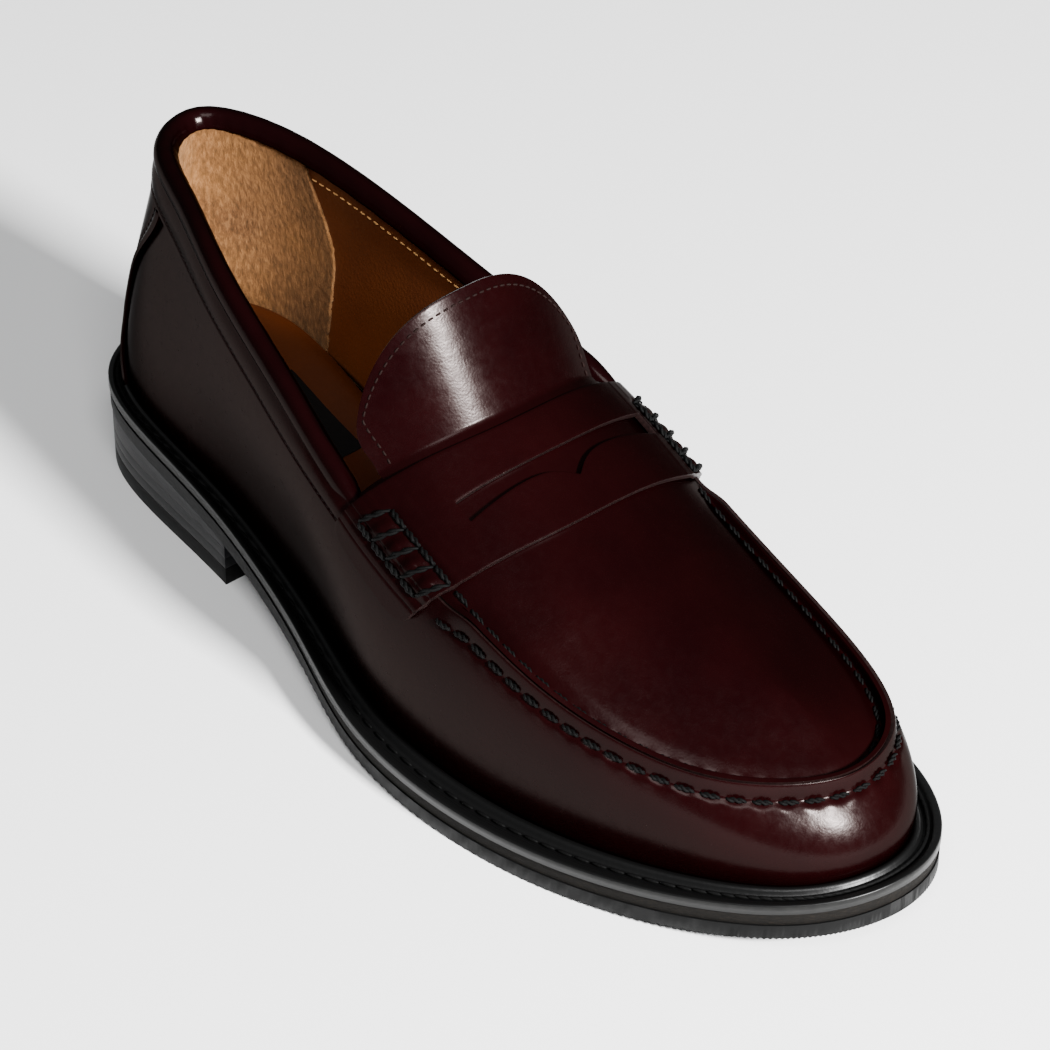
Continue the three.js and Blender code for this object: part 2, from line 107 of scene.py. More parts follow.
def ramp(tree, fac, stops):
    node = add(tree, "ShaderNodeValToRGB", Fac=fac)
    elements = node.color_ramp.elements
    while len(elements) < len(stops):
        elements.new(0.5)
    for element, (position, value) in zip(elements, stops):
        element.position = position
        element.color = colour(value) if isinstance(value, str) else (value, value, value, 1)
    return node.outputs["Color"]


def light(name, azimuth, elevation, distance, width, height, power):
    lamp = bpy.data.lights.new(name, "AREA")
    lamp.shape = "RECTANGLE"
    lamp.size, lamp.size_y = width, height
    lamp.energy = power
    obj = bpy.data.objects.new(name, lamp)
    bpy.context.scene.collection.objects.link(obj)
    obj.location = direction(azimuth, elevation) * distance
    aim(obj, SHOE_MIDDLE)


paper, tree, shader, where = material("pale_paper_floor", Roughness=0.9)
shader.inputs["Base Color"].default_value = colour("#f4f4f4")
bm = bmesh.new()
bmesh.ops.create_grid(bm, x_segments=2, y_segments=2, size=6)
floor_mesh = bpy.data.meshes.new("floor")
bm.to_mesh(floor_mesh)
bm.free()
floor_mesh.materials.append(paper)
floor = bpy.data.objects.new("floor", floor_mesh)
bpy.context.scene.collection.objects.link(floor)

light("key_softbox", azimuth=90, elevation=33, distance=1.6, width=0.22, height=0.22, power=145)
light("overhead_card", azimuth=50, elevation=54, distance=1.8, width=0.9, height=0.6, power=24)
world = bpy.data.worlds.new("studio")
bpy.context.scene.world = world
world.use_nodes = True
world.node_tree.nodes["Background"].inputs["Color"].default_value = colour("#f2f4f6")
world.node_tree.nodes["Background"].inputs["Strength"].default_value = 0.27

# --- the last: the curves that the whole shoe is built on ---
# Every piece is cut to one last, so all share these stations, laid out in millimetres from the
# heel's back. Each row is the welt edge x, y; how far the upper stands inside it; how far the wall
# swells low and high; and the upper's top edge x, y, z, along the topline and then the apron seam.
STATIONS = [
    (0, 5, 5.5, 0.5, 2, 15, 9, 99.5),
    (9.5, -17.5, 5.5, 0.5, 2, 23.5, -5, 99.5),
    (35, -28.2, 5, 2, 3, 46, -15, 98),
    (75, -33.3, 5.5, 4.5, 4, 77, -27, 94),
    (120, -42.6, 6.5, 4, 5, 112, -35, 83),
    (160, -54.7, 8, 2, 7, 147, -41.5, 70),
    (200, -56.5, 8.5, 2, 8, 182, -43.5, 60.5),
    (235, -49.7, 8.5, 2.5, 7, 218, -42.5, 50.5),
    (265, -37.4, 8, 3, 6, 248, -34.5, 43.5),
    (285, -24.3, 7.5, 3, 5.5, 266, -23, 40),
    (296, -10.6, 7.5, 3, 5.5, 277, -9, 38.3),
    (300, 4.5, 7.5, 3, 5.5, 282, 5, 37.8),
    (297, 19, 7.5, 3, 5, 279.5, 18.5, 38.2),
    (286, 31.5, 7.5, 3, 4, 270, 28.5, 39.6),
    (265.5, 42, 8, 3, 3.5, 250, 34.5, 43.5),
    (235, 48.3, 8.5, 2.5, 3.5, 220, 37.5, 50.5),
    (200, 49, 8.5, 3, 3.5, 188, 39.5, 60),
    (160, 39, 8, 4.5, 4.5, 156, 39, 72.5),
    (120, 32, 6.5, 5, 3.5, 115, 34.5, 84),
    (75, 35, 5.5, 4.5, 3, 79, 31.5, 92),
    (35, 37.5, 5, 2, 3, 45, 27.5, 97.5),
    (9.5, 26.5, 5.5, 0.5, 2, 22, 19.5, 99.5),
]
SIDES = len(STATIONS)
TOE = SIDES / 2
WELT_TOP = [(-10, 28.4), (0, 28.2), (40, 26.7), (75, 23.6), (110, 18.2), (150, 13.4), (190, 11.32),
            (225, 11.32), (255, 12.6), (280, 15.2), (300, 18.3), (310, 20)]
LABEL_REAR, LABEL_LATERAL = 53, -9
label_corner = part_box("sock_label")[0]
ORIGIN = Vector((LABEL_REAR * MM - label_corner.x, LABEL_LATERAL * MM - label_corner.y, 0))


def lerp(a, b, t):
    return a + (b - a) * t


def clamp(x, low=0.0, high=1.0):
    return max(low, min(high, x))


def ease(x, low, high):
    t = clamp((x - low) / (high - low))
    return t * t * (3 - 2 * t)


def through_points(points):
    """Control points whose closed cubic B-spline passes through the points."""
    control = [list(p) for p in points]
    for _ in range(30):
        control = [
            [c + points[i][m] - (control[i - 1][m] + 4 * c + control[(i + 1) % len(points)][m]) / 6
             for m, c in enumerate(control[i])]
            for i in range(len(points))
        ]
    return control


RAILS = through_points(STATIONS)


@functools.lru_cache(maxsize=None)
def rails(at):
    k = math.floor(at)
    f = at - k
    weights = ((1 - f) ** 3, 3 * f ** 3 - 6 * f ** 2 + 4, -3 * f ** 3 + 3 * f ** 2 + 3 * f + 1, f ** 3)
    near = [RAILS[(k + j - 1) % SIDES] for j in range(4)]
    return tuple(sum(w * c[m] for w, c in zip(weights, near)) / 6 for m in range(8))


def smooth_height(points):
    def slope(j):
        a, b = points[max(j - 1, 0)], points[min(j + 1, len(points) - 1)]
        return (b[1] - a[1]) / (b[0] - a[0])

    def height(x):
        k = next((j - 1 for j, p in enumerate(points) if p[0] > x), len(points) - 2)
        k = max(0, min(k, len(points) - 2))
        (x0, z0), (x1, z1) = points[k], points[k + 1]
        w = x1 - x0
        t = (x - x0) / w
        rise = (2 * t ** 3 - 3 * t ** 2 + 1) * z0 + (3 * t ** 2 - 2 * t ** 3) * z1
        return rise + (t ** 3 - 2 * t ** 2 + t) * w * slope(k) + (t ** 3 - t ** 2) * w * slope(k + 1)

    return height


welt_top = smooth_height(WELT_TOP)


@functools.lru_cache(maxsize=None)
def outward(i):
    a, b = rails(i - 0.01), rails(i + 0.01)
    return Vector((b[1] - a[1], a[0] - b[0], 0)).normalized()


def edge(i, inset):
    x, y = rails(i)[:2]
    return Vector((x, y, 0)) - outward(i) * inset


def to_frame(point):
    """From last millimetres to the frame's metres."""
    return point * MM - ORIGIN


# --- heel stack ---
# A rubber top piece, two leather lifts and a wedge that takes the sole's slope, nailed up and
# trimmed as one block, then inked black and waxed, so the joints stay as faint lines.
HEEL_INSET = 0.5
BREAST = 3.14
TOP_PIECE = (0, 5.2)
LIFTS = [(5.5, 8.6), (8.9, 12.0)]
WELT_THICK, OUTSOLE_THICK = 3.0, 4.3
LAYER_GAP = 0.3
WELD = 0.02 * MM


def midsole_thickness(x):
    return lerp(0.9, 3.2, ease(x, 80, 165))


def outsole_top(x):
    return welt_top(x) - WELT_THICK - 2 * LAYER_GAP - midsole_thickness(x)


def outsole_bottom(x):
    return outsole_top(x) - OUTSOLE_THICK


def finish_piece(name, bm, materials, body="shoe", replaces=(), modifiers=(), recalc=True):
    """Makes the bmesh a smooth-shaded piece that rides on its body and stands for its CAD node."""
    bmesh.ops.remove_doubles(bm, verts=bm.verts, dist=WELD)
    bmesh.ops.dissolve_degenerate(bm, dist=1e-6, edges=bm.edges)
    if recalc:
        bmesh.ops.recalc_face_normals(bm, faces=bm.faces)
    for face in bm.faces:
        face.smooth = True
    mesh = bpy.data.meshes.new(name)
    bm.to_mesh(mesh)
    bm.free()
    for one in materials if isinstance(materials, (list, tuple)) else [materials]:
        mesh.materials.append(one)
    piece = bpy.data.objects.new(name, mesh)
    bpy.context.scene.collection.objects.link(piece)
    for kind, settings in modifiers:
        modifier = piece.modifiers.new(kind.lower(), kind)
        for key, value in settings.items():
            setattr(modifier, key, value)
    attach(piece, body)
    if replaces:
        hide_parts(*replaces)
    return piece


def rounded(width, segments=2, angle=50):
    return ("BEVEL", {"width": width * MM, "segments": segments, "limit_method": "ANGLE",
                      "angle_limit": math.radians(angle)})


def thick(amount, rim=0):
    """Gives a sheet its thickness behind its face; rim picks the material of its cut edge."""
    return ("SOLIDIFY", {"thickness": amount * MM, "offset": -1, "use_even_offset": False,
                         "material_offset_rim": rim})


def grid(columns, rows, place):
    """A grid whose columns and rows run over 0..1 and are laid on the last by `place`."""
    bm = bmesh.new()
    bmesh.ops.create_grid(bm, x_segments=columns, y_segments=rows, size=0.5)
    for vert in bm.verts:
        vert.co = to_frame(place(vert.co.x + 0.5, vert.co.y + 0.5))
    return bm


def slab_bmesh(columns, rows, top, bottom, inset, i1, relief=None):
    """A flat-lying layer inside the outline, from the heel's back to station i1."""
    def flat(u, v):
        i = i1 * u
        return edge(i, inset(i)).lerp(edge(SIDES - i, inset(SIDES - i)), v)

    bm = grid(columns, rows, flat)
    lower = list(bm.verts)
    raised = bmesh.ops.extrude_face_region(bm, geom=bm.faces[:], use_keep_orig=True)["geom"]
    upper = [g for g in raised if isinstance(g, bmesh.types.BMVert)]
    for group, height in ((lower, bottom), (upper, top)):
        for vert in group:
            last = (vert.co + ORIGIN) / MM
            vert.co.z = height(last.x, last.y) * MM
    if relief:
        for k, vert in enumerate(lower):
            row, column = divmod(k, columns + 1)
            vert.co.z += relief(column, min(row, rows - row), (vert.co.x + ORIGIN.x) / MM) * MM
    bmesh.ops.remove_doubles(bm, verts=bm.verts, dist=WELD)
    return bm


# Heel lifts: vegetable-tanned leather, edge-inked black and waxed. The burnish leaves fine streaks
# along the layers, and the ink is thinner on the proud fibres.
inked, tree, shader, where = material("inked_waxed_leather_edge", Roughness=0.42, Coat_Weight=0.1,
                                      Coat_Roughness=0.3, Specular_IOR_Level=0.12)
stretched = add(tree, "ShaderNodeMapping", Vector=where, Scale=(1, 1, 9)).outputs["Vector"]
fibres = add(tree, "ShaderNodeTexNoise", Vector=stretched, Scale=240, Detail=5, Roughness=0.6)
blotch = add(tree, "ShaderNodeTexNoise", Vector=where, Scale=60, Detail=3)
tone = add(tree, "ShaderNodeMix", {"data_type": "RGBA"}, Factor=0.35,
           i6=ramp(tree, fibres.outputs["Fac"], [(0.3, "#060607"), (0.75, "#121214")]),
           i7=ramp(tree, blotch.outputs["Fac"], [(0.35, "#050506"), (0.7, "#101012")]))
tree.links.new(tone.outputs[2], shader.inputs["Base Color"])
bump = add(tree, "ShaderNodeBump", Height=fibres.outputs["Fac"], Strength=0.35, Distance=0.00025)
tree.links.new(bump.outputs["Normal"], shader.inputs["Normal"])

rubber, tree, shader, where = material("moulded_black_rubber", Roughness=0.55, Specular_IOR_Level=0.1)
shader.inputs["Base Color"].default_value = colour("#050505")
grain = add(tree, "ShaderNodeTexNoise", Vector=where, Scale=900, Detail=3)
bump = add(tree, "ShaderNodeBump", Height=grain.outputs["Fac"], Strength=0.25, Distance=0.0002)
tree.links.new(bump.outputs["Normal"], shader.inputs["Normal"])


def heel_inset(_):
    return HEEL_INSET


def flat_height(z):
    """The height of a layer's level face, as slab_bmesh asks for it."""
    return lambda x, y: z


bm = slab_bmesh(60, 6, flat_height(TOP_PIECE[1]), flat_height(TOP_PIECE[0]), heel_inset, BREAST)
finish_piece("heel_top_piece_rubber", bm, rubber, replaces=["heel_top_piece"],
             modifiers=[rounded(0.7)])
for k, (low, high) in enumerate(LIFTS, 1):
    bm = slab_bmesh(60, 6, flat_height(high + 0.1), flat_height(low - 0.1), heel_inset, BREAST)
    finish_piece(f"heel_lift_{k}_leather", bm, inked, replaces=[f"heel_lift_{k}"],
                 modifiers=[rounded(0.22)])
bm = slab_bmesh(60, 6, lambda x, y: outsole_bottom(x) - 0.15, flat_height(LIFTS[-1][1] + 0.2),
                heel_inset, BREAST)
finish_piece("heel_wedge_leather", bm, inked, replaces=["heel_wedge"],
             modifiers=[rounded(0.22)])

# --- outsole ---
# Moulded rubber, 4.3 mm thick, with a plain edge and a fine-toothed rim under the forefoot that
# grips where the edge meets the ground; the tread inside it is a shallow field of cross ribs.
OUTSOLE_INSET = 0.2
FOREFOOT_START = 128
TOOTH_DEPTH, TREAD_DEPTH, TREAD_PITCH, TREAD_MARGIN = 0.55, 0.45, 6, 3


def tread(column, row, x):
    """How far the underside is cut up here: a tooth at the rim, a groove between two ribs inside."""
    if x < FOREFOOT_START:
        return 0
    if row == 0:
        return TOOTH_DEPTH * (column % 2)
    return TREAD_DEPTH * (row >= TREAD_MARGIN and x % TREAD_PITCH < TREAD_PITCH / 2)


bm = slab_bmesh(300, 20, lambda x, y: outsole_top(x) + 0.1, lambda x, y: outsole_bottom(x),
                lambda i: OUTSOLE_INSET, TOE, tread)
finish_piece("outsole_rubber", bm, rubber, replaces=["outsole"],
             modifiers=[rounded(0.25, 2, 40)])

# --- midsole ---
# A leather through-sole whose cut edge is left brown and raw, so its fibres show as a rough band
# between the black rubber and the welt; it thins away toward the heel.
raw_edge, tree, shader, where = material("raw_cut_leather_edge", Roughness=0.8, Specular_IOR_Level=0.1)
stretched = add(tree, "ShaderNodeMapping", Vector=where, Scale=(1, 1, 4)).outputs["Vector"]
fibres = add(tree, "ShaderNodeTexNoise", Vector=stretched, Scale=700, Detail=6, Roughness=0.7)
fibre_tone = ramp(tree, fibres.outputs["Fac"], [(0.3, "#040302"), (0.55, "#0b0907"), (0.85, "#211a13")])
tree.links.new(fibre_tone, shader.inputs["Base Color"])
bump = add(tree, "ShaderNodeBump", Height=fibres.outputs["Fac"], Strength=0.8, Distance=0.0004)
tree.links.new(bump.outputs["Normal"], shader.inputs["Normal"])
bm = slab_bmesh(240, 6, lambda x, y: welt_top(x) - WELT_THICK - 0.1, lambda x, y: outsole_top(x) + 0.2,
                lambda i: 0.6, TOE)
finish_piece("midsole_leather", bm, raw_edge, replaces=["midsole"],
             modifiers=[rounded(0.15)])

# --- storm welt ---
# A leather strip sewn all the way round, black on top and grey where its edge is buffed. A rib
# stands against the upper to keep water out, and the stitches lie in a channel beside it.
WELT_REACH = 12.5
WELT_PROFILE = [
    # share of the open welt from its edge inward, and height over the welt's top
    (0.0, -2.9), (0.0, -0.35), (0.03, -0.08), (0.08, 0.0), (0.2, 0.02), (0.27, -0.05), (0.32, -0.5),
    (0.38, -0.8), (0.5, -0.85), (0.6, -0.8), (0.66, -0.45), (0.7, 0.2), (0.76, 0.75), (0.84, 0.95),
    (0.92, 0.8), (0.98, 0.3), (1.04, -0.3),
]


def welt_place(u, v):
    i = SIDES * u
    k = v * (len(WELT_PROFILE) + 1)
    n = round(k)
    if n < len(WELT_PROFILE):
        share, lift = WELT_PROFILE[n]
        p = edge(i, share * rails(i)[2])
    else:
        p = edge(i, WELT_REACH)
        lift = -0.4 if n == len(WELT_PROFILE) else -2.9
    p.z = welt_top(p.x) + lift
    return p


black_welt, tree, shader, where = material("dyed_welt_leather", Roughness=0.36, Specular_IOR_Level=0.2)
shader.inputs["Base Color"].default_value = colour("#050505")
grain = add(tree, "ShaderNodeTexNoise", Vector=where, Scale=700, Detail=4)
bump = add(tree, "ShaderNodeBump", Height=grain.outputs["Fac"], Strength=0.3, Distance=0.0002)
tree.links.new(bump.outputs["Normal"], shader.inputs["Normal"])
buffed_welt, tree, shader, where = material("buffed_welt_edge", Roughness=0.42, Specular_IOR_Level=0.15)
fibres = add(tree, "ShaderNodeTexNoise", Vector=where, Scale=500, Detail=5)
tree.links.new(ramp(tree, fibres.outputs["Fac"], [(0.3, "#080808"), (0.7, "#121211")]),
               shader.inputs["Base Color"])
bump = add(tree, "ShaderNodeBump", Height=fibres.outputs["Fac"], Strength=0.2, Distance=0.0002)
tree.links.new(bump.outputs["Normal"], shader.inputs["Normal"])

bm = grid(480, len(WELT_PROFILE) + 1, welt_place)
bmesh.ops.remove_doubles(bm, verts=bm.verts, dist=WELD)
bmesh.ops.bridge_loops(bm, edges=[e for e in bm.edges if e.is_boundary])
for face in bm.faces:
    middle = (face.calc_center_median() + ORIGIN) / MM
    side = abs(face.normal.z) < 0.6 and middle.z < welt_top(middle.x) - 0.3
    face.material_index = 1 if side else 0
finish_piece("storm_welt", bm, [black_welt, buffed_welt], replaces=["welt"])

# --- welt stitches ---
# Thick black waxed linen, locked through welt and soles about every 4.5 mm. Each stitch is pulled
# down into the channel, so only its rounded back shows.
def black_thread(name, tone):
    new, tree, shader, where = material(name, Roughness=0.65, Specular_IOR_Level=0.05)
    twist = add(tree, "ShaderNodeTexNoise", Vector=where, Scale=2200, Detail=2)
    shade = add(tree, "ShaderNodeHueSaturation", Color=colour(tone), Value=1.9)
    mixed = add(tree, "ShaderNodeMix", {"data_type": "RGBA"}, i0=twist.outputs["Fac"], i6=colour(tone),
                i7=shade.outputs["Color"])
    tree.links.new(mixed.outputs[2], shader.inputs["Base Color"])
    bump = add(tree, "ShaderNodeBump", Height=twist.outputs["Fac"], Strength=0.6, Distance=0.0002)
    tree.links.new(bump.outputs["Normal"], shader.inputs["Normal"])
    return new


waxed = black_thread("waxed_linen_thread", "#030303")
WELT_STITCHES = 150
bm = bmesh.new()
for n in range(WELT_STITCHES):
    i = SIDES * (n + 0.5) / WELT_STITCHES
    point = edge(i, rails(i)[2] * 0.48)
    point.z = welt_top(point.x) - 0.45
    ahead = edge(i + 0.05, 3) - edge(i - 0.05, 3)
    across = outward(i)
    turn = Matrix((ahead.normalized() * 2.3, across * 0.55, Vector((0, 0, 0.5)))).transposed() * MM
    place = turn.to_4x4()
    place.translation = to_frame(point)
    bmesh.ops.create_uvsphere(bm, u_segments=8, v_segments=6, radius=1, matrix=place)
finish_piece("welt_stitches", bm, waxed, replaces=["welt_thread"])

# --- skirt ---
# One wall of polished calf goes round the whole shoe. It is lasted down to the welt, and ahead of
# the strap its top edge turns up against the apron's, drawn into a groove by every stitch.
LEATHER = 1.4
LIP = 2.6
UP = Vector((0, 0, 1))
APRON_REAR = 5.0
SEAM_PITCH = 6.3
SKIRT_ROW = 4.6


def lip(i):
    i = i % SIDES
    return LIP * ease(i, 6.05, 6.4) * (1 - ease(i, 15.6, 15.95))


def wall(i, v):
    """The last's side: v is 0 on the welt and 1 on the topline or the apron seam."""
    _, _, inset, low, high, tx, ty, tz = rails(i)
    out = outward(i)
    foot = edge(i, inset)
    foot.z = welt_top(foot.x) + 0.3
    top = Vector((tx, ty, tz))
    rise = top.z - foot.z
    a = foot + out * low + UP * rise * 0.36
    b = top + out * high - UP * rise * 0.26
    point = foot * (1 - v) ** 3 + a * 3 * v * (1 - v) ** 2 + b * 3 * v ** 2 * (1 - v) + top * v ** 3
    point.z += lip(i) * ease(v, 0.92, 1)
    return point


@functools.lru_cache(maxsize=None)
def wall_top(i):
    return wall(i, 1).freeze()


def wall_normal(i, v):
    e = 0.004
    along = wall(i + e, v) - wall(i - e, v)
    up = wall(i, min(v + e, 1)) - wall(i, max(v - e, 0))
    return along.cross(up).normalized()


SEAM_STEPS = 480
seam_stations = [lerp(APRON_REAR, SIDES - APRON_REAR, k / SEAM_STEPS) for k in range(SEAM_STEPS + 1)]
seam_lengths = [0.0]
for a, b in zip(seam_stations, seam_stations[1:]):
    seam_lengths.append(seam_lengths[-1] + (wall_top(b) - wall_top(a)).length)
SEAM_STITCHES = round(seam_lengths[-1] / SEAM_PITCH)


def seam_phase(i):
    """Stitches sewn by this station: a whole number is a hole, a half is a stitch's middle."""
    at = clamp((i - APRON_REAR) / (SIDES - 2 * APRON_REAR)) * SEAM_STEPS
    k = min(int(at), SEAM_STEPS - 1)
    length = lerp(seam_lengths[k], seam_lengths[k + 1], at - k)
    return SEAM_STITCHES * length / seam_lengths[-1]


def seam_station(phase):
    goal = seam_lengths[-1] * phase / SEAM_STITCHES
    k = next(j for j in range(SEAM_STEPS) if seam_lengths[j + 1] >= goal)
    t = (goal - seam_lengths[k]) / (seam_lengths[k + 1] - seam_lengths[k])
    return lerp(seam_stations[k], seam_stations[k + 1], t)


def pull(i):
    return 0.5 - 0.5 * math.cos(math.tau * seam_phase(i))


def skirt_face(i, v):
    point = wall(i, v)
    sewn = lip(i) / LIP
    if sewn > 0 and v > 0.5:
        drop = (point - wall_top(i)).length
        tight = pull(i)
        groove = (0.3 + 0.3 * tight) * math.exp(-((drop - SKIRT_ROW) / 1.2) ** 2)
        puff = 0.16 * (1 - tight) * math.exp(-((drop - SKIRT_ROW - 1.2) / 1.6) ** 2)
        point += wall_normal(i, v) * (puff - groove) * sewn
    return point


# Smooth box calf, dyed oxblood and polished with dark wax: the tinted film swallows light that
# crosses it at a slant, so the sides stay nearly black. Faint creases and pores break up the shine;
# both are drawn coarser than real ones, which would be too fine to see.
def polished_calf(name, dark, light, rough):
    new, tree, shader, where = material(name, IOR=1.5, Specular_IOR_Level=0.2, Coat_Weight=1,
                                        Coat_IOR=1.02, Coat_Roughness=0.2, Coat_Tint=colour("#a59b98"))
    cloud = add(tree, "ShaderNodeTexNoise", Vector=where, Scale=26, Detail=5, Roughness=0.55)
    tree.links.new(ramp(tree, cloud.outputs["Fac"], [(0.32, dark), (0.7, light)]),
                   shader.inputs["Base Color"])
    creases = add(tree, "ShaderNodeTexNoise", Vector=where, Scale=420, Detail=6, Roughness=0.6,
                  Distortion=0.6)
    pores = add(tree, "ShaderNodeTexVoronoi", Vector=where, Scale=1500)
    tree.links.new(ramp(tree, creases.outputs["Fac"], [(0.3, rough - 0.04), (0.75, rough + 0.08)]),
                   shader.inputs["Roughness"])
    fine = add(tree, "ShaderNodeBump", Height=pores.outputs["Distance"], Strength=0.10, Distance=0.0001)
    bump = add(tree, "ShaderNodeBump", Height=creases.outputs["Fac"], Strength=0.16, Distance=0.0002,
               Normal=fine.outputs["Normal"])
    tree.links.new(bump.outputs["Normal"], shader.inputs["Normal"])
    return new


calf = polished_calf("polished_oxblood_calf", "#180305", "#230709", 0.22)

# Where the calf is cut, its edge shows paler felted fibre under a thin coat of dye and wax.
cut_edge, tree, shader, where = material("dyed_cut_leather_edge", Roughness=0.42,
                                         Specular_IOR_Level=0.15)
fibres = add(tree, "ShaderNodeTexNoise", Vector=where, Scale=1400, Detail=4)
tree.links.new(ramp(tree, fibres.outputs["Fac"], [(0.3, "#0a0404"), (0.75, "#1a0f0e")]),
               shader.inputs["Base Color"])

bm = grid(700, 60, lambda u, v: skirt_face(SIDES * u, 1 - (1 - v) ** 1.8))
finish_piece("skirt_calf", bm, [calf, cut_edge], replaces=["skirt"],
             recalc=False, modifiers=[thick(LEATHER, rim=1), rounded(0.35, 2, 60)])

# --- apron ---
# The plug of the vamp: one panel of the same calf drawn down over the last. Its edge is turned up
# against the skirt's, so the two cut edges stand side by side as a ridge.
SPINE_REAR, SPINE_FRONT = 164.5, 258
spine_height = smooth_height([(150, 95), (166, 86.6), (182, 79), (198, 71.8), (220, 63.3), (240, 56),
                              (258, 49.6), (272, 44.2), (285, 38.5)])
SEAM_INSET = 1.0
APRON_ROW = 2.6


def apron_station(k, medial):
    return lerp(SIDES - APRON_REAR if medial else APRON_REAR, TOE, k)


@functools.lru_cache(maxsize=None)
def seam_point(k, medial):
    i = apron_station(k, medial)
    top = wall(i, 1) - outward(i) * SEAM_INSET
    top.z -= lip(i)
    return top.freeze()


@functools.lru_cache(maxsize=None)
def apron_crest(k):
    x = lerp(SPINE_REAR, SPINE_FRONT, 1 - (1 - k) ** 2.1)
    return Vector((x, (seam_point(k, True).y + seam_point(k, False).y) / 2, spine_height(x))).freeze()


def apron_width(k, medial):
    return (seam_point(k, medial) - apron_crest(k)).length


def apron(k, r):
    """r runs across, -1 on the lateral seam and 1 on the medial one; k from the strap to the toe."""
    medial = r > 0
    side, crest = seam_point(k, medial), apron_crest(k)
    share = abs(r)
    fall = share ** 2.1
    spread = share ** lerp(2.1, 1.0, ease(k, 0.45, 1.0))
    point = Vector((lerp(crest.x, side.x, spread), lerp(crest.y, side.y, share), 0))
    point.z = lerp(spine_height(point.x), side.z, fall)
    i = apron_station(k, medial)
    sewn = lip(i) / LIP
    if sewn > 0 and share > 0.5:
        inner = (1 - share) * apron_width(k, medial)
        point.z += lip(i) * (1 - ease(inner, 1.1, 2.0))
        point.z -= sewn * 0.5 * math.exp(-((inner - 3.2) / 1.8) ** 2)
        point.z -= sewn * (0.15 + 0.3 * pull(i)) * math.exp(-((inner - APRON_ROW) / 0.7) ** 2)
    return point


def apron_share(v, k):
    """Rows of the apron crowd into its last 7 mm on each side, where the ridge is."""
    t = 2 * v - 1
    strip = 7 / apron_width(k, t > 0)
    out = abs(t)
    share = out / 0.6 * (1 - strip) if out < 0.6 else 1 - strip * ((1 - out) / 0.4) ** 1.6
    return math.copysign(share, t)


SEAM_LINE = [seam_point(k / 60, medial) for k in range(61) for medial in (False, True)]


def apron_inner(vert):
    """Plan distance in mm from the seam."""
    last = (vert.co + ORIGIN) / MM
    return min(math.hypot(last.x - p.x, last.y - p.y) for p in SEAM_LINE)


bm = grid(170, 110, lambda u, v: apron(u, apron_share(v, u)))
bmesh.ops.remove_doubles(bm, verts=bm.verts, dist=WELD)
front = [v for v in bm.verts if apron_inner(v) > 9 and (v.co.x + ORIGIN.x) / MM > 215]
for _ in range(60):
    bmesh.ops.smooth_vert(bm, verts=front, factor=0.5, use_axis_x=True, use_axis_y=True, use_axis_z=True)
finish_piece("apron_calf", bm, [calf, cut_edge], replaces=["apron"],
             recalc=False, modifiers=[thick(LEATHER, rim=1), rounded(0.3, 2, 60)])

# --- apron seam stitches ---
# Hand sewing: waxed black two-ply thread goes through both upright edges and lies in a groove on
# each side of the ridge, in long stitches that almost meet. Each stitch dives at its two holes.
THREAD = 0.62


def lay_thread(bm, path, radius, strands=2, turns=1.5, rings=9, sides=6):
    """Plied thread along path(t), which gives a point and the way out of the leather there."""
    for strand in range(strands):
        ring = None
        for k in range(rings):
            t = k / (rings - 1)
            point, out = path(t)
            ahead = path(min(t + 0.02, 1))[0] - path(max(t - 0.02, 0))[0]
            across = out.cross(ahead).normalized()
            up = ahead.cross(across).normalized()
            swell = (0.15 + 3.4 * t * (1 - t)) ** 0.35
            angle = math.tau * (strand / strands + turns * t)
            shift = (across * math.cos(angle) + up * math.sin(angle)) * radius * 0.62 * (strands > 1)
            size = radius * (0.72 if strands > 1 else 1) * swell
            where = to_frame(point + shift * swell)
            turn = Matrix((across * size * MM, up * size * MM, ahead.normalized() * MM)).transposed()
            place = turn.to_4x4()
            place.translation = where
            if ring is None:
                ring = bmesh.ops.create_circle(bm, cap_ends=True, segments=sides, radius=1, matrix=place)
                ring = ring["verts"]
                loop = [e for e in {e for v in ring for e in v.link_edges} if len(e.link_faces) == 1]
                start = list(ring)
            else:
                grown = bmesh.ops.extrude_edge_only(bm, edges=loop)["geom"]
                fresh = [g for g in grown if isinstance(g, bmesh.types.BMVert)]
                loop = [g for g in grown if isinstance(g, bmesh.types.BMEdge)
                        and all(v in fresh for v in g.verts)]
                for vert in fresh:
                    below = next(e.other_vert(vert) for e in vert.link_edges
                                 if e.other_vert(vert) not in fresh)
                    vert.co = place @ (last_place.inverted() @ below.co)
            last_place = place
        bmesh.ops.contextual_create(bm, geom=loop)


def thread_piece(name, paths, mat, radius, body="shoe", replaces=(), **how):
    bm = bmesh.new()
    for path in paths:
        lay_thread(bm, path, radius, **how)
    bmesh.ops.recalc_face_normals(bm, faces=bm.faces)
    return finish_piece(name, bm, mat, body=body, replaces=replaces, recalc=False)


def wall_height(i, drop):
    """v of the point that lies `drop` mm under the wall's top edge."""
    low, high = 0.4, 1.0
    for _ in range(18):
        middle = (low + high) / 2
        if (wall(i, middle) - wall_top(i)).length > drop:
            low = middle
        else:
            high = middle
    return low


def skirt_stitch(n):
    def path(t):
        i = seam_station(n + 0.08 + 0.84 * t)
        v = wall_height(i, SKIRT_ROW)
        out = wall_normal(i, v)
        sink = 0.9 * abs(2 * t - 1) ** 4
        return skirt_face(i, v) + out * (0.45 - sink), out

    return path


